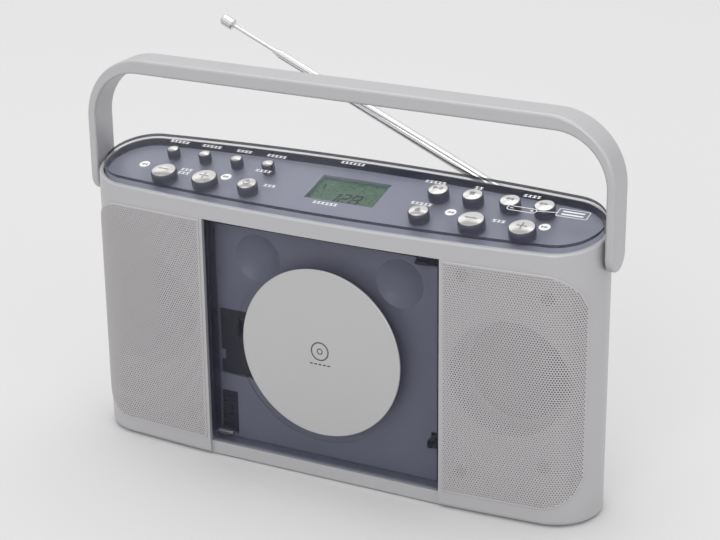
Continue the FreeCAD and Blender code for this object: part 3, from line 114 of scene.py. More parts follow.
class RadioColours(bpy.types.PropertyGroup):
    """Colours of the finishes"""
    silver: FloatVectorProperty(name="Silver", description="Lacquer on the case", subtype="COLOR",
                                default=linear("#b4b4b6"), min=0, max=1)
    smoke: FloatVectorProperty(name="Smoke", description="Tint of the clear mouldings", subtype="COLOR",
                               default=linear("#3c3f55"), min=0, max=1)
    deck: FloatVectorProperty(name="Deck", description="Plastic under the clear mouldings", subtype="COLOR",
                              default=linear("#828498"), min=0, max=1)
    display: FloatVectorProperty(name="Display", description="Unlit liquid crystal", subtype="COLOR",
                                 default=linear("#56785e"), min=0, max=1)
    floor: FloatVectorProperty(name="Floor", description="Studio floor", subtype="COLOR",
                               default=linear("#d0d0d0"), min=0, max=1)


# ------------------------------------------------------------------ materials

def add(tree, kind, inputs=(), **settings):
    """Add one node; each input takes a value or another node's output."""
    node = tree.nodes.new(kind)
    for name, value in settings.items():
        setattr(node, name, value)
    for name, value in dict(inputs).items():
        if isinstance(value, bpy.types.NodeSocket):
            tree.links.new(value, node.inputs[name])
        else:
            node.inputs[name].default_value = value
    return node


# Breadth, in millimetres, of the faint cloudiness in every finish
CLOUD = 24


def surface(name, colour, roughness, metallic=0.0, ior=1.5, grain=0.4, depth=0.01, mottle=0.06, alpha=1.0,
            coat=0.0):
    """A finish whose gloss and colour are broken up by a fine grain; grain and depth are in millimetres."""
    made = bpy.data.materials.new(name)
    made.use_nodes = True
    tree = made.node_tree
    tree.nodes.clear()
    place = add(tree, "ShaderNodeTexCoord")
    fine = add(tree, "ShaderNodeTexNoise", {"Vector": place.outputs["Object"], "Scale": 1 / (grain * MM),
                                            "Detail": 3.0, "Roughness": 0.6})
    broad = add(tree, "ShaderNodeTexNoise", {"Vector": place.outputs["Object"], "Scale": 1 / (CLOUD * MM),
                                             "Detail": 2.0})
    both = add(tree, "ShaderNodeMix", {0: 0.35, 2: fine.outputs["Fac"], 3: broad.outputs["Fac"]})
    dark = [part * (1 - mottle) for part in colour[:3]] + [1]
    light = [min(1, part * (1 + mottle)) for part in colour[:3]] + [1]
    tint = add(tree, "ShaderNodeMix", {0: both.outputs[0], 6: dark, 7: light}, data_type="RGBA")
    gloss = add(tree, "ShaderNodeMapRange", {
        "Value": both.outputs[0], "From Min": 0.3, "From Max": 0.7,
        "To Min": max(0.02, roughness * 0.9), "To Max": min(1, roughness * 1.1)})
    bump = add(tree, "ShaderNodeBump", {"Height": fine.outputs["Fac"], "Strength": 0.5,
                                        "Distance": depth * MM})
    shader = add(tree, "ShaderNodeBsdfPrincipled", {
        "Base Color": tint.outputs[2], "Roughness": gloss.outputs["Result"], "Metallic": metallic, "IOR": ior,
        "Normal": bump.outputs["Normal"], "Alpha": alpha, "Coat Weight": coat, "Coat Roughness": 0.08})
    add(tree, "ShaderNodeOutputMaterial", {"Surface": shader.outputs["BSDF"]})
    return made


def make_materials(colours):
    """Every finish, by the record's slot or by its own name."""
    silver = tuple(colours.silver)
    smoke = tuple(colours.smoke)
    made = {
        # Silver lacquer with fine flake over moulded polystyrene: soft, even sheen with no mirror in it
        "case_silver": surface("silver_lacquer_on_polystyrene", silver, 0.38, 0.35, 1.5, 0.35, 0.012, 0.05),
        # The same lacquer on perforated steel, a little drier
        "grille_metal": surface("silver_lacquer_on_steel_sheet", linear("#b6b3b5"),
                                0.42, 0.35, 1.5, 0.35, 0.01),
        # Smoke-blue acrylic, polished: clear, dark where it is seen edge on
        "smoke_clear": surface("smoke_acrylic_moulded", smoke,
                               0.06, 0.0, 1.49, 3.0, 0.002, 0.02, 0.12, 0.3),
        # The door's thicker smoke acrylic
        "door_smoke": surface("smoke_acrylic_door", linear("#26283b"),
                              0.05, 0.0, 1.49, 3.0, 0.002, 0.02, 0.2, 0.4),
        # Painted shade: the acrylic drawn nearly black as bands along the clear edges, where it looks dark
        # seen edge on
        "painted_edge_shade": surface("smoke_acrylic_painted_edge_shade", linear("#1a1c2c"),
                              0.2, 0.0, 1.49, 2.0, 0.002, 0.05, 0.86),
        # Smoke sleeve round each key, darkened with painted shade for the gap between key and cover
        "sleeve_and_painted_gap_shade": surface("smoke_acrylic_sleeve_and_painted_gap_shade", linear("#4a4d5e"),
                                0.2, 0.0, 1.49, 2.0, 0.002, 0.05, 0.55),
        # Blue-grey ABS, fine spark-eroded texture
        "deck_black": surface("blue_grey_abs_moulded", tuple(colours.deck),
                              0.42, 0.15, 1.54, 0.5, 0.02, 0.04),
        # The control panel under the clear cover, satin pearl
        "panel_deck": surface("pearl_abs_panel", linear("#a0a2b4"), 0.4, 0.2, 1.54, 0.5, 0.01, 0.04),
        # Disc plate: spun aluminium, satin anodised
        "plate_silver": surface("satin_anodised_aluminium", linear("#bcbcbd"),
                                0.36, 0.6, 1.5, 0.3, 0.008, 0.03),
        # Metallised ABS caps, satin
        "key_silver": surface("metallised_abs_caps", linear("#d2d0ce"), 0.24, 0.75, 1.5, 0.3, 0.004, 0.04),
        # Reflective liquid crystal behind a polariser
        "display_green": surface("liquid_crystal_reflective", tuple(colours.display),
                                 0.28, 0.0, 1.5, 2.0, 0.001, 0.05),
        # Black ABS
        "black_plastic": surface("black_abs_moulded", linear("#111216"), 0.45, 0.0, 1.54, 0.6, 0.02, 0.1),
        # Glass-fibre board under green solder mask
        "board_green": surface("solder_mask_on_glass_fibre", linear("#1d5a37"),
                               0.3, 0.0, 1.55, 0.8, 0.01, 0.2),
        # Plated steel pressings
        "steel": surface("zinc_plated_steel", linear("#b4b4b2"), 0.32, 1.0, 1.5, 0.8, 0.006, 0.08),
        # Chromed brass tube, drawn and polished
        "chrome": surface("chromed_brass_tube", linear("#dcdcdc"), 0.12, 1.0, 1.5, 0.6, 0.002, 0.03),
        # Soft rubber
        "rubber": surface("moulded_rubber", linear("#202020"), 0.75, 0.0, 1.52, 0.7, 0.04, 0.15),
        # Pressed paper cone
        "paper_cone": surface("pressed_paper_cone", linear("#2a2a2c"), 0.85, 0.0, 1.4, 0.5, 0.08, 0.2),
        # Acetal gears
        "white_plastic": surface("acetal_gears", linear("#e2e0d8"), 0.4, 0.0, 1.48, 0.9, 0.01, 0.03),
        # Coated lens
        "lens_blue": surface("coated_glass_lens", linear("#31406e"),
                             0.04, 0.0, 1.52, 3.0, 0.001, 0.02, 0.8, 1.0),
        # White screen-printing ink
        "ink": surface("white_screen_ink", linear("#f4f4f6"), 0.5, 0.0, 1.5, 0.4, 0.004, 0.02),
        # Darkened segment of liquid crystal
        "segment": surface("liquid_crystal_segment", linear("#0c120e"), 0.4, 0.0, 1.5, 0.5, 0.001, 0.05),
        # Grey mark printed on the disc plate
        "plate_mark": surface("grey_screen_ink", linear("#4c4c4e"), 0.5, 0.0, 1.5, 0.4, 0.004, 0.05),
        # Grey printed signs on the panel; on the key caps, painted shade that makes the marks look pressed in
        "grey_print_and_painted_mark_shade": surface("grey_ink_and_painted_pressed_shade", linear("#8c8a88"), 0.35, 0.8, 1.5, 0.3, 0.004, 0.04),
    }
    return made


# ------------------------------------------------------------------ meshes

def mesh_piece(name, points, faces, material, body, smooth=False):
    """A mesh in metres that rides on a body."""
    mesh = bpy.data.meshes.new(name)
    mesh.from_pydata(points, [], faces)
    mesh.validate()
    mesh.update()
    made = bpy.data.objects.new(name, mesh)
    bpy.context.scene.collection.objects.link(made)
    mesh.materials.append(material)
    for face in mesh.polygons:
        face.use_smooth = smooth
    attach(made, body)
    return made


def raised(outlines, matrix, low, high):
    """Points and faces of thin slabs with the given outlines; a pair of equal-length outlines is a ring."""
    points = []
    faces = []
    for outline in outlines:
        loops = outline if isinstance(outline[0][0], tuple) else (outline,)
        count = len(loops[0])
        start = len(points)
        for level in (low, high):
            for loop in loops:
                points += [matrix @ Vector((x * MM, y * MM, level * MM)) for x, y in loop]
        top = start + count * len(loops)
        if len(loops) == 1:
            faces.append(tuple(range(top, top + count)))
            faces.append(tuple(range(start + count - 1, start - 1, -1)))
        for spot in range(count):
            after = (spot + 1) % count
            faces.append((start + spot, start + after, top + after, top + spot))
            if len(loops) == 2:
                inner = start + count
                inner_top = top + count
                faces.append((inner + after, inner + spot, inner_top + spot, inner_top + after))
                faces.append((top + spot, top + after, inner_top + after, inner_top + spot))
                faces.append((start + after, start + spot, inner + spot, inner + after))
    return points, faces


def oval(x, y, across, along, corner=None, steps=28):
    """A closed outline: an ellipse of so many steps, or a rectangle whose corners have a radius."""
    if corner is None:
        return [(x + across / 2 * math.cos(2 * math.pi * step / steps),
                 y + along / 2 * math.sin(2 * math.pi * step / steps)) for step in range(steps)]
    outline = []
    chords = 5
    for quarter, (way_x, way_y) in enumerate(((1, 1), (-1, 1), (-1, -1), (1, -1))):
        for step in range(chords + 1):
            turn = math.pi / 2 * (quarter + step / chords)
            outline.append((x + way_x * (across / 2 - corner) + corner * math.cos(turn),
                            y + way_y * (along / 2 - corner) + corner * math.sin(turn)))
    return outline


def ring(x, y, across, along, corner, line):
    """The outline pair of a drawn frame with a line width."""
    return (oval(x, y, across, along, corner), oval(x, y, across - 2 * line, along - 2 * line, corner - line))


def bar(x0, y0, x1, y1, width):
    """A straight stroke between two points."""
    along = Vector((x1 - x0, y1 - y0)).normalized() * width / 2
    side = Vector((-along.y, along.x))
    return [(x0 - side.x, y0 - side.y), (x1 - side.x, y1 - side.y),
            (x1 + side.x, y1 + side.y), (x0 + side.x, y0 + side.y)]


def arrow(x, y, size, way=1):
    """A triangle that points along X."""
    tip = [(x - way * size / 2, y - size / 2), (x + way * size / 2, y), (x - way * size / 2, y + size / 2)]
    return tip if way > 0 else list(reversed(tip))


# ------------------------------------------------------------------ grilles

# Radius of the sheet's two outer corners, and how many points its arcs and its straight runs have
SHEET_CORNER = 22
CORNER_STEPS = 24
ALONG_STEPS = 40
OUTER_STEPS = 66
INNER_STEPS = 95

# How far off the case the back of the sheet lies, how far its rolled rim is set in, and how high that rim
# reaches as a part of the whole thickness
SHEET_BACK = 0.02
RIM_INSET = 0.5
RIM_RISE = 0.45


def front_point(run, off):
    """A point on the case front: run is measured round it from the middle, off stands proud of it."""
    bow_length = BOW_RADIUS * BOW_TURN
    if run < bow_length:
        turn = run / BOW_RADIUS
        reach = BOW_RADIUS + off
        return reach * math.sin(turn), BOW_RADIUS - HALF_DEPTH - reach * math.cos(turn)
    turn = BOW_TURN + (run - bow_length) / END_RADIUS
    reach = END_RADIUS + off
    return END_CENTRE + reach * math.sin(turn), -reach * math.cos(turn)


def run_at(x):
    """How far round the front the place at a distance from the middle is."""
    bow_end = BOW_RADIUS * math.sin(BOW_TURN)
    if x < bow_end:
        return BOW_RADIUS * math.asin(x / BOW_RADIUS)
    turn = math.asin(min(1, (x - END_CENTRE) / END_RADIUS))
    return BOW_RADIUS * BOW_TURN + END_RADIUS * (turn - BOW_TURN)


def grille_outline(box, inset):
    """The sheet's outline, unrolled; its two outer corners are large."""
    low_x, high_x, low_z, high_z = box
    low_x += inset
    high_x -= inset
    low_z += inset
    high_z -= inset
    corner = SHEET_CORNER - inset
    spots = []

    def line(x0, z0, x1, z1, steps):
        spots.extend((x0 + (x1 - x0) * step / steps, z0 + (z1 - z0) * step / steps) for step in range(steps))

    def bend(x, z, first):
        turns = [first + math.pi / 2 * step / CORNER_STEPS for step in range(CORNER_STEPS)]
        spots.extend((x + corner * math.cos(turn), z + corner * math.sin(turn)) for turn in turns)

    line(low_x, low_z, high_x - corner, low_z, ALONG_STEPS)
    bend(high_x - corner, low_z + corner, -math.pi / 2)
    line(high_x, low_z + corner, high_x, high_z - corner, OUTER_STEPS)
    bend(high_x - corner, high_z - corner, 0)
    line(high_x - corner, high_z, low_x, high_z, ALONG_STEPS)
    line(low_x, high_z, low_x, low_z, INNER_STEPS)
    return [(run_at(x), z) for x, z in spots]


def inside(outline, x, y):
    """Whether a point lies in an outline."""
    found = False
    last_x, last_y = outline[-1]
    for spot_x, spot_y in outline:
        if (spot_y > y) != (last_y > y):
            crossing = (last_x - spot_x) * (y - spot_y) / (last_y - spot_y) + spot_x
            if x < crossing:
                found = not found
        last_x, last_y = spot_x, spot_y
    return found


def hexagon(x, y, radius):
    """The six corners of a hexagon with upright sides."""
    turns = [math.pi / 3 * (side + 0.5) for side in range(6)]
    return [(x + radius * math.cos(turn), y + radius * math.sin(turn)) for turn in turns]


def open_edge(edge):
    """Whether only one face lies along an edge."""
    return len(edge.link_faces) == 1


def hole_field(sheet, field, low_z, high_z, pitch, hole):
    """Cells with a hole each, where they lie wholly in the field; gives the corners that cells share."""
    corners = {}

    def corner_at(x, y):
        key = (round(x * 50), round(y * 50))
        if key not in corners:
            corners[key] = sheet.verts.new((x, y, 0))
        return corners[key]

    low = min(spot[0] for spot in field)
    high = max(spot[0] for spot in field)
    rise = pitch * math.sqrt(3) / 2
    for row in range(int((high_z - low_z) / rise) + 1):
        y = low_z + (row + 0.5) * rise
        for column in range(int((high - low) / pitch) + 1):
            x = low + (column + 0.5 * (row % 2)) * pitch
            ends = hexagon(x, y, pitch / math.sqrt(3))
            if not all(inside(field, *end) for end in ends):
                continue
            rim = [sheet.verts.new((*end, 0)) for end in hexagon(x, y, hole)]
            cell = [corner_at(*end) for end in ends]
            for side in range(6):
                after = (side + 1) % 6
                sheet.faces.new((cell[side], cell[after], rim[after], rim[side]))
    return set(corners.values())


def perforated(box, pitch, hole, border, proud):
    """Points (run, height, off) and faces of one sheet with its holes cut through."""
    sheet = bmesh.new()
    shared = hole_field(sheet, grille_outline(box, border), box[2], box[3], pitch, hole)
    ragged = [edge for edge in sheet.edges
              if open_edge(edge) and edge.verts[0] in shared and edge.verts[1] in shared]
    loop = [sheet.verts.new((x, y, 0)) for x, y in grille_outline(box, RIM_INSET)]
    size = len(loop)
    border_edges = [sheet.edges.new((loop[spot], loop[(spot + 1) % size])) for spot in range(size)]
    bmesh.ops.triangle_fill(sheet, use_beauty=True, use_dissolve=False, edges=ragged + border_edges)
    for face in sheet.faces:
        if face.normal.z < 0:
            face.normal_flip()
    sheet.verts.index_update()
    points = [(vert.co.x, vert.co.y, proud) for vert in sheet.verts]
    faces = [tuple(vert.index for vert in face.verts) for face in sheet.faces]
    rim_index = [vert.index for vert in loop]
    rims = [(link.vert.index, link.link_loop_next.vert.index)
            for edge in sheet.edges if open_edge(edge) for link in edge.link_loops]
    sheet.free()

    # The back of the sheet, then the walls of the holes between the two
    count = len(points)
    points += [(x, y, SHEET_BACK) for x, y, _ in points]
    faces += [tuple(spot + count for spot in reversed(face)) for face in list(faces)]
    outer = set(rim_index)
    for first, second in rims:
        if not (first in outer and second in outer):
            faces.append((second, first, first + count, second + count))

    # The rolled rim: from the face out to the sheet's edge, down, and back in to the back
    start = len(points)
    skirt = grille_outline(box, 0)
    points += [(x, y, proud * RIM_RISE) for x, y in skirt]
    points += [(x, y, SHEET_BACK) for x, y in skirt]
    for spot in range(size):
        after = (spot + 1) % size
        upper, upper_after = start + spot, start + after
        lower, lower_after = upper + size, upper_after + size
        faces.append((rim_index[after], rim_index[spot], upper, upper_after))
        faces.append((upper_after, upper, lower, lower_after))
        faces.append((lower_after, lower, rim_index[spot] + count, rim_index[after] + count))
    return points, faces


def make_grilles(sizes, materials):
    """The two perforated sheets, one a mirror of the other, in place of the plain ones."""
    low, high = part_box("right_grille")
    box = (low[0] / MM, high[0] / MM, low[2] / MM, high[2] / MM)
    points, faces = perforated(box, sizes.grille_pitch / MM, sizes.grille_hole / MM, sizes.grille_border / MM,
                               sizes.grille_proud / MM)
    for hand, sign in (("right", 1), ("left", -1)):
        placed = []
        for run, height, off in points:
            x, y = front_point(run, off)
            placed.append((sign * x * MM, y * MM, height * MM))
        kept = faces if sign > 0 else [tuple(reversed(face)) for face in faces]
        made = mesh_piece(hand + "_perforated_grille", placed, kept, materials["grille_metal"], "case")
        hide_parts(hand + "_grille")


# ------------------------------------------------------------------ painted shade along the edges of the clear mouldings

def case_plan(inset, steps=40):
    """Plan of the case, drawn in by an inset, as points from the right end round by the back."""
    bow_length = BOW_RADIUS * BOW_TURN
    end_length = END_RADIUS * (math.pi / 2 - BOW_TURN)
    runs = [bow_length + end_length * (1 - step / steps) for step in range(steps)]
    runs += [bow_length * (1 - step / steps) for step in range(steps + 1)]
    quarter = []
    for run in runs:
        x, y = front_point(run, -inset)
        quarter.append((x, -y))
    back = quarter + [(-x, y) for x, y in reversed(quarter[:-1])]
    return back + [(x, -y) for x, y in reversed(back[1:-1])]


def upright_band(outline, low, high):
    """Points and faces of a thin upright wall between two levels off the sloping panel."""
    rise = math.tan(PANEL_TURN)
    points = []
    for x, y in outline:
        for level in (low, high):
            points.append((x * MM, y * MM, (PANEL_HEIGHT + y * rise + level / math.cos(PANEL_TURN)) * MM))
    count = len(outline)
    faces = [(2 * spot, 2 * ((spot + 1) % count), 2 * ((spot + 1) % count) + 1, 2 * spot + 1)
             for spot in range(count)]
    return points, faces


def make_cover_edge_shade(materials):
    """Painted shade: a dark band round the clear cover's outline, and a thicker one along its back."""
    points, faces = upright_band(case_plan(3.3), 2.5, 4.2)
    mesh_piece("cover_painted_edge_shade", points, faces, materials["painted_edge_shade"], "case", True)
    behind = 4 * MM
    points, faces = upright_band(case_plan(5.1), -2.4, 2.2)
    kept = [face for face in faces if points[face[0]][1] > behind and points[face[1]][1] > behind]
    mesh_piece("cover_back_painted_edge_shade", points, kept, materials["painted_edge_shade"], "case", True)


def make_door_edge_shade(materials):
    """Painted shade: a dark band up both sides and across the top of the clear door."""
    low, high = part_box("cd_door")
    line = 1.4
    inset = 0.25
    side = high[0] / MM - inset
    top = high[2] / MM - inset
    bottom = low[2] / MM + 6
    outline = [(-side, bottom), (line - side, bottom), (line - side, top - line), (side - line, top - line),
               (side - line, bottom), (side, bottom), (side, top), (-side, top)]
    points, faces = raised([outline], UPRIGHT, 22.2, 29.7)
    mesh_piece("door_painted_edge_shade", points, faces, materials["painted_edge_shade"], "door")


def key_place(name):
    """Where a key's middle lies on the sloping panel, as x and y in millimetres, and how wide the key is."""
    low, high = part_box(name)
    middle = PANEL.inverted() @ ((Vector(low) + Vector(high)) / 2)
    return middle.x / MM, ROWS[1 if middle.y > 0 else -1], (high[0] - low[0]) / MM


def make_sleeves_and_gap_shade(materials):
    """A smoke sleeve in the clear cover round each key, made dark as painted shade in the gap."""
    outlines = []
    for name in KEY_NAMES:
        x, y, wide = key_place(name)
        outlines.append((oval(x, y, wide + 1.5, wide + 1.5), oval(x, y, wide + 0.7, wide + 0.7)))
    points, faces = raised(outlines, PANEL, SLEEVE_FOOT, COVER_TOP - 0.05)
    mesh_piece("key_sleeves_and_gap_shade", points, faces, materials["sleeve_and_painted_gap_shade"], "case", True)


# ------------------------------------------------------------------ printing, display, key marks

# Each printed row of dashes: x, y and how many
LABELS = (
    (-123, 20.2, 5), (-100, 20.2, 5), (-77, 20.2, 4), (-54.5, 20.2, 5), (-54, 2.6, 4),
    (-101, -8.4, 3), (-101, -12.2, 3), (-42, -11.5, 3), (52, 18.2, 5), (79, 19, 2),
    (112, 18.6, 4), (54, -5.4, 5), (104, -10.5, 3), (-5, 24.6, 6), (-0.5, -20.3, 6),
)

# Printed discs with a pair of arrows on them: x and which way the arrows point
ARROW_DISCS = ((-130.5, -1), (-73, 1), (74, -1), (130.8, 1))
ARROW_DISC_Y = -9.3


def label(x, y, count):
    """A row of small plain dashes in place of a printed word."""
    pitch, stroke, rise = 2.7, 0.6, 0.9
    dashes = []
    for spot in range(count):
        middle = x + (spot - (count - 1) / 2) * pitch
        wide = 0.95 if spot % 2 else 1.1
        dashes += [bar(middle - wide, y + rise, middle + wide, y + rise, stroke),
                   bar(middle - wide, y - rise, middle + wide, y - rise, stroke),
                   bar(middle, y - 0.5, middle, y + 0.5, stroke)]
    return dashes


def range_sign():
    """Two outlined boxes joined by a line, with a small cross and two bars in them."""
    return [
        ring(111.5, 4.4, 18, 4.6, 2.2, 0.5), ring(141, 7.4, 18.5, 8, 0.9, 0.45),
        bar(120.5, 4.8, 131.8, 6.6, 0.5),
        bar(104.4, 4.4, 106.6, 4.4, 0.5), bar(116.4, 4.4, 118.6, 4.4, 0.5), bar(117.5, 3.3, 117.5, 5.5, 0.5),
        bar(134.5, 8.8, 147.5, 8.8, 1.3), bar(134.5, 5.9, 147.5, 5.9, 1.3),
    ]


def make_prints(sizes, materials):
    """White printing on the clear cover, with small signs on its discs."""
    marks = []
    for x, y, count in LABELS:
        marks += label(x, y, count)
    marks += [oval(x, ARROW_DISC_Y, 6.6, 6.6) for x, _ in ARROW_DISCS] + range_sign()
    depth = sizes.print_depth / MM
    points, faces = raised(marks, PANEL, COVER_TOP, COVER_TOP + depth)
    mesh_piece("panel_printing", points, faces, materials["ink"], "case")
    signs = []
    for x, way in ARROW_DISCS:
        signs += [arrow(x - 0.9 * way, ARROW_DISC_Y, 2.2, way), arrow(x + 1.1 * way, ARROW_DISC_Y, 2.2, way)]
    points, faces = raised(signs, PANEL, COVER_TOP + depth, COVER_TOP + 1.6 * depth)
    mesh_piece("panel_print_signs", points, faces, materials["grey_print_and_painted_mark_shade"], "case")


# Seven-segment digits: which strokes are dark
DIGITS = {"1": "bc", "2": "abged", "8": "abcdefg"}


def digit(text, x, y, tall, wide, lean=0.12):
    """Slanted strokes of one digit, with a small gap where they meet."""
    half = tall / 2
    gap = 0.45
    spots = {
        "a": (0, tall, wide, tall), "b": (wide, half, wide, tall), "c": (wide, 0, wide, half),
        "d": (0, 0, wide, 0), "e": (0, 0, 0, half), "f": (0, half, 0, tall), "g": (0, half, wide, half),
    }
    strokes = []
    for letter in DIGITS[text]:
        x0, y0, x1, y1 = spots[letter]
        gap_x = gap if y0 == y1 else 0
        gap_y = gap if x0 == x1 else 0
        strokes.append(bar(x + x0 + gap_x + lean * y0, y + y0 + gap_y,
                           x + x1 - gap_x + lean * y1, y + y1 - gap_y, 1.15))
    return strokes


def make_disc_mark(materials):
    """Two plain rings over a row of dashes, printed in the middle of the door's silver plate."""
    low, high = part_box("door_disc_plate")
    middle = (low[2] + high[2]) / 2 / MM
    face = -low[1] / MM
    signs = [ring(0, middle + 1.5, 12, 12, 6, 0.9), ring(0, middle + 1.5, 4, 4, 2, 0.7)]
    starts = [-6.8 + 2.9 * spot for spot in range(5)]
    signs += [bar(start, middle - 6.8, start + 2, middle - 6.8, 0.9) for start in starts]
    points, faces = raised(signs, UPRIGHT, face - 0.1, face + 0.015)
    mesh_piece("disc_plate_mark", points, faces, materials["plate_mark"], "door")


def make_display(materials):
    """Three plain digits and a small sign, dark on the display."""
    first, pitch = -9.7, 7.2
    dark = []
    for number, text in enumerate("128"):
        dark += digit(text, first + number * pitch, -4.4, 9.4, 4.8)
    dark += [arrow(-18.4, 11, 2.6, -1), bar(-18.6, 8.2, -16.6, 8.2, 0.7)]
    points, faces = raised(dark, PANEL, GLASS_TOP, GLASS_TOP + 0.12)
    mesh_piece("display_segments", points, faces, materials["segment"], "case")


def key_marks():
    """The mark on each cap, as outlines about the cap's middle."""
    plus = [bar(-3, 0, 3, 0, 0.7), bar(0, 0.4, 0, 3, 0.7), bar(0, -3, 0, -0.4, 0.7)]
    return {
        "play_key": [arrow(-1.1, 0, 3, 1), bar(1.4, -1.4, 1.4, 1.4, 0.6), bar(2.6, -1.4, 2.6, 1.4, 0.6)],
        "power_key": [ring(0, -0.3, 4.2, 4.2, 2.1, 0.5), bar(0, 0.2, 0, 2.6, 0.6)],
        "stop_key": [oval(0, 0, 3, 3, 0.3)],
        "skip_back_key": [arrow(-1.2, 0, 2.4, -1), arrow(1.2, 0, 2.4, -1)],
        "skip_forward_key": [arrow(-1.2, 0, 2.4, 1), arrow(1.2, 0, 2.4, 1)],
        "door_open_key": [bar(-1.6, -1.2, 1.6, -1.2, 0.6), [(-1.6, -0.4), (1.6, -0.4), (0, 1.6)]],
        "volume_down_key": [bar(-3.4, 0, 3.4, 0, 0.7)],
        "volume_up_key": plus,
        "slower_key": [bar(-3.2, 0.4, 3.2, 0.4, 0.7)],
        "faster_key": plus,
    }


def make_key_marks(materials):
    """A grey mark on each cap that has one, its colour painted shade so that it looks pressed in; it rides
    with the cap.
    """
    for name, outlines in key_marks().items():
        x, y, _ = key_place(name)
        spot = PANEL @ Matrix.Translation((x * MM, y * MM, 0))
        points, faces = raised(outlines, spot, CAP_MARK_FOOT, CAP_MARK_TOP)
        mesh_piece(name + "_mark", points, faces, materials["grey_print_and_painted_mark_shade"], name + "_cap")


# ------------------------------------------------------------------ finishes and studio

# Pieces whose finish differs from the rest of their slot
OWN_FINISH = {"cd_door": "door_smoke", "control_deck": "panel_deck", "door_disc_plate": "plate_silver"}


def finish_nodes(materials):
    """Give every CAD piece the finish of its slot, or its own."""
    for name, node in frame["nodes"].items():
        material = materials[OWN_FINISH.get(name, SLOT_OF[name])]
        if not node.material_slots:
            node.data.materials.append(material)
        for slot in node.material_slots:
            slot.material = material


def make_floor(colour):
    """A wide round white floor."""
    radius, steps = 9, 64
    turns = [2 * math.pi * step / steps for step in range(steps)]
    mesh = bpy.data.meshes.new("studio_floor")
    mesh.from_pydata([(radius * math.cos(turn), radius * math.sin(turn), 0) for turn in turns], [],
                     [tuple(range(steps))])
    floor = bpy.data.objects.new("studio_floor", mesh)
    bpy.context.scene.collection.objects.link(floor)
    mesh.materials.append(surface("matt_paper_floor", colour, 0.9, grain=2, depth=0.001, mottle=0.002))


def make_world():
    """A white surround, dimmer near the horizon than overhead."""
    world = bpy.data.worlds.new("studio")
    world.use_nodes = True
    tree = world.node_tree
    way = add(tree, "ShaderNodeTexCoord")
    parts = add(tree, "ShaderNodeSeparateXYZ", {"Vector": way.outputs["Generated"]})
    height = add(tree, "ShaderNodeMapRange", {"Value": parts.outputs["Z"], "From Min": 0.0, "From Max": 0.4,
                                              "To Min": 0.58, "To Max": 0.98})
    background = tree.nodes["Background"]
    background.inputs["Color"].default_value = (1, 1, 1, 1)
    tree.links.new(height.outputs["Result"], background.inputs["Strength"])
    bpy.context.scene.world = world


# Soft boxes: name, place, the point each faces, size in metres, power in watts
LAMPS = (
    ("top_box", (-0.3, 0.3, 3.0), (0, 0, 0), 2.4, 23),
    ("front_box", (0.4, -3.4, 1.7), (0, 0, 0.05), 1.6, 28),
    ("right_box", (2.8, -1.4, 1.2), (0, 0, 0.1), 1.2, 8),
    ("back_box", (-2.6, 2.1, 2.8), (0, 0, 0.1), 1.6, 5),
)


def make_lamps():
    """The soft boxes."""
    for name, spot, target, size, power in LAMPS:
        lamp = bpy.data.lights.new(name, "AREA")
        lamp.shape = "SQUARE"
        lamp.size = size
        lamp.energy = power
        holder = bpy.data.objects.new(name, lamp)
        holder.location = spot
        holder.rotation_euler = (Vector(spot) - Vector(target)).to_track_quat("Z", "Y").to_euler()
        bpy.context.scene.collection.objects.link(holder)


def make_stage(colours):
    """Floor, surround, lamps and camera."""
    make_floor(tuple(colours.floor))
    make_world()
    make_lamps()
    make_camera()
    bpy.context.scene.view_settings.view_transform = "Standard"


# The camera: its turn, tilt down and roll in degrees, the point it faces and its distance in millimetres
CAMERA_TURNS = (27.85, 20.88, -0.67)
CAMERA_TARGET = (10.787, 0, 125.457)
CAMERA_DISTANCE = 1151.18


def make_camera():
    """Long lens, a little above and to the right of the object's middle."""
    yaw, pitch, roll = (math.radians(turn) for turn in CAMERA_TURNS)
    back = Vector((math.sin(yaw) * math.cos(pitch), -math.cos(yaw) * math.cos(pitch), math.sin(pitch)))
    right = (-back).cross(Vector((0, 0, 1))).normalized()
    up = right.cross(-back)
    side = right * math.cos(roll) + up * math.sin(roll)
    top = up * math.cos(roll) - right * math.sin(roll)
    lens = bpy.data.cameras.new("camera")
    lens.sensor_width = 36
    lens.lens = 97.96
    lens.clip_start = 0.05
    lens.clip_end = 50
    holder = bpy.data.objects.new("camera", lens)
    turn = Matrix((side, top, back)).transposed().to_4x4()
    place = (Vector(CAMERA_TARGET) + back * CAMERA_DISTANCE) * MM
    holder.matrix_world = Matrix.Translation(place) @ turn
    bpy.context.scene.collection.objects.link(holder)
    bpy.context.scene.camera = holder


# ------------------------------------------------------------------ operators and panel

# The finishes made so far, by name
MADE = {}


class RADIO_OT_finishes(bpy.types.Operator):
    """Give every moulded, pressed and turned piece its finish"""
    bl_idname = "radio.finishes"
    bl_label = "Finishes"

    def execute(self, context):
        MADE.update(make_materials(context.scene.radio_colours))
        finish_nodes(MADE)
        return {"FINISHED"}


class RADIO_OT_grilles(bpy.types.Operator):
    """Make the two perforated speaker grilles"""
    bl_idname = "radio.grilles"
    bl_label = "Grilles"

    def execute(self, context):
        make_grilles(context.scene.radio_sizes, MADE)
        return {"FINISHED"}


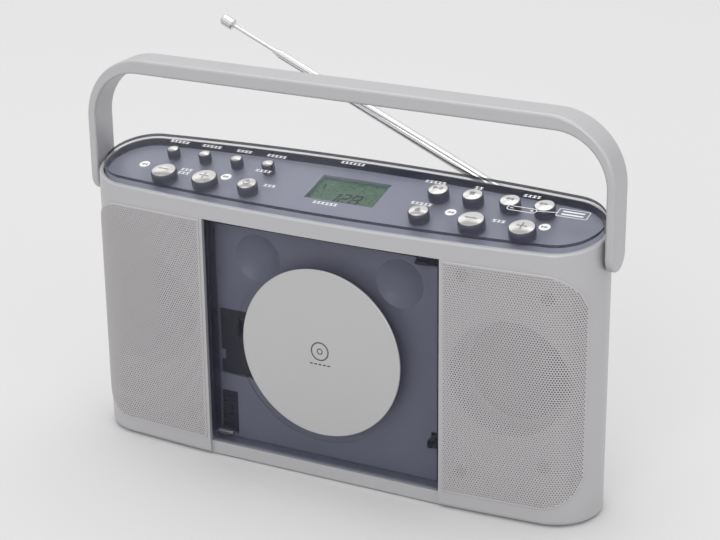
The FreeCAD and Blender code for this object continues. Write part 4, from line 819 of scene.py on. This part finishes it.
class RADIO_OT_edges(bpy.types.Operator):
    """Draw the painted shade along the edges of the clear cover and the door, and round the keys in their
    holes
    """
    bl_idname = "radio.edges"
    bl_label = "Clear edges"

    def execute(self, context):
        make_cover_edge_shade(MADE)
        make_door_edge_shade(MADE)
        make_sleeves_and_gap_shade(MADE)
        return {"FINISHED"}


class RADIO_OT_panel(bpy.types.Operator):
    """Print the marks on the clear panel, and set the marks on the key caps, whose grey is painted shade"""
    bl_idname = "radio.panel"
    bl_label = "Panel printing"

    def execute(self, context):
        make_prints(context.scene.radio_sizes, MADE)
        make_key_marks(MADE)
        make_disc_mark(MADE)
        return {"FINISHED"}


class RADIO_OT_display(bpy.types.Operator):
    """Set the dark segments of the display"""
    bl_idname = "radio.display"
    bl_label = "Display"

    def execute(self, context):
        make_display(MADE)
        return {"FINISHED"}


class RADIO_OT_stage(bpy.types.Operator):
    """Build the floor, the lights and the camera"""
    bl_idname = "radio.stage"
    bl_label = "Stage"

    def execute(self, context):
        make_stage(context.scene.radio_colours)
        return {"FINISHED"}


class RADIO_PT_panel(bpy.types.Panel):
    """Lists the pieces of the CD radio"""
    bl_idname = "RADIO_PT_panel"
    bl_label = "CD Radio"
    bl_space_type = "VIEW_3D"
    bl_region_type = "UI"
    bl_category = "CD Radio"

    def draw(self, context):
        for operator in OPERATORS:
            self.layout.operator(operator.bl_idname)
        for group in (context.scene.radio_sizes, context.scene.radio_colours):
            for name in group.bl_rna.properties.keys():
                if name not in ("rna_type", "name"):
                    self.layout.prop(group, name)


OPERATORS = (RADIO_OT_finishes, RADIO_OT_grilles, RADIO_OT_edges, RADIO_OT_panel, RADIO_OT_display,
             RADIO_OT_stage)
CLASSES = (RadioSizes, RadioColours) + OPERATORS + (RADIO_PT_panel,)


def register():
    for item in CLASSES:
        bpy.utils.register_class(item)
    bpy.types.Scene.radio_sizes = PointerProperty(type=RadioSizes)
    bpy.types.Scene.radio_colours = PointerProperty(type=RadioColours)


def unregister():
    del bpy.types.Scene.radio_colours
    del bpy.types.Scene.radio_sizes
    for item in reversed(CLASSES):
        bpy.utils.unregister_class(item)


def main():
    register()
    bpy.ops.radio.finishes()
    bpy.ops.radio.grilles()
    bpy.ops.radio.edges()
    bpy.ops.radio.panel()
    bpy.ops.radio.display()
    bpy.ops.radio.stage()


if __name__ == "__main__":
    main()
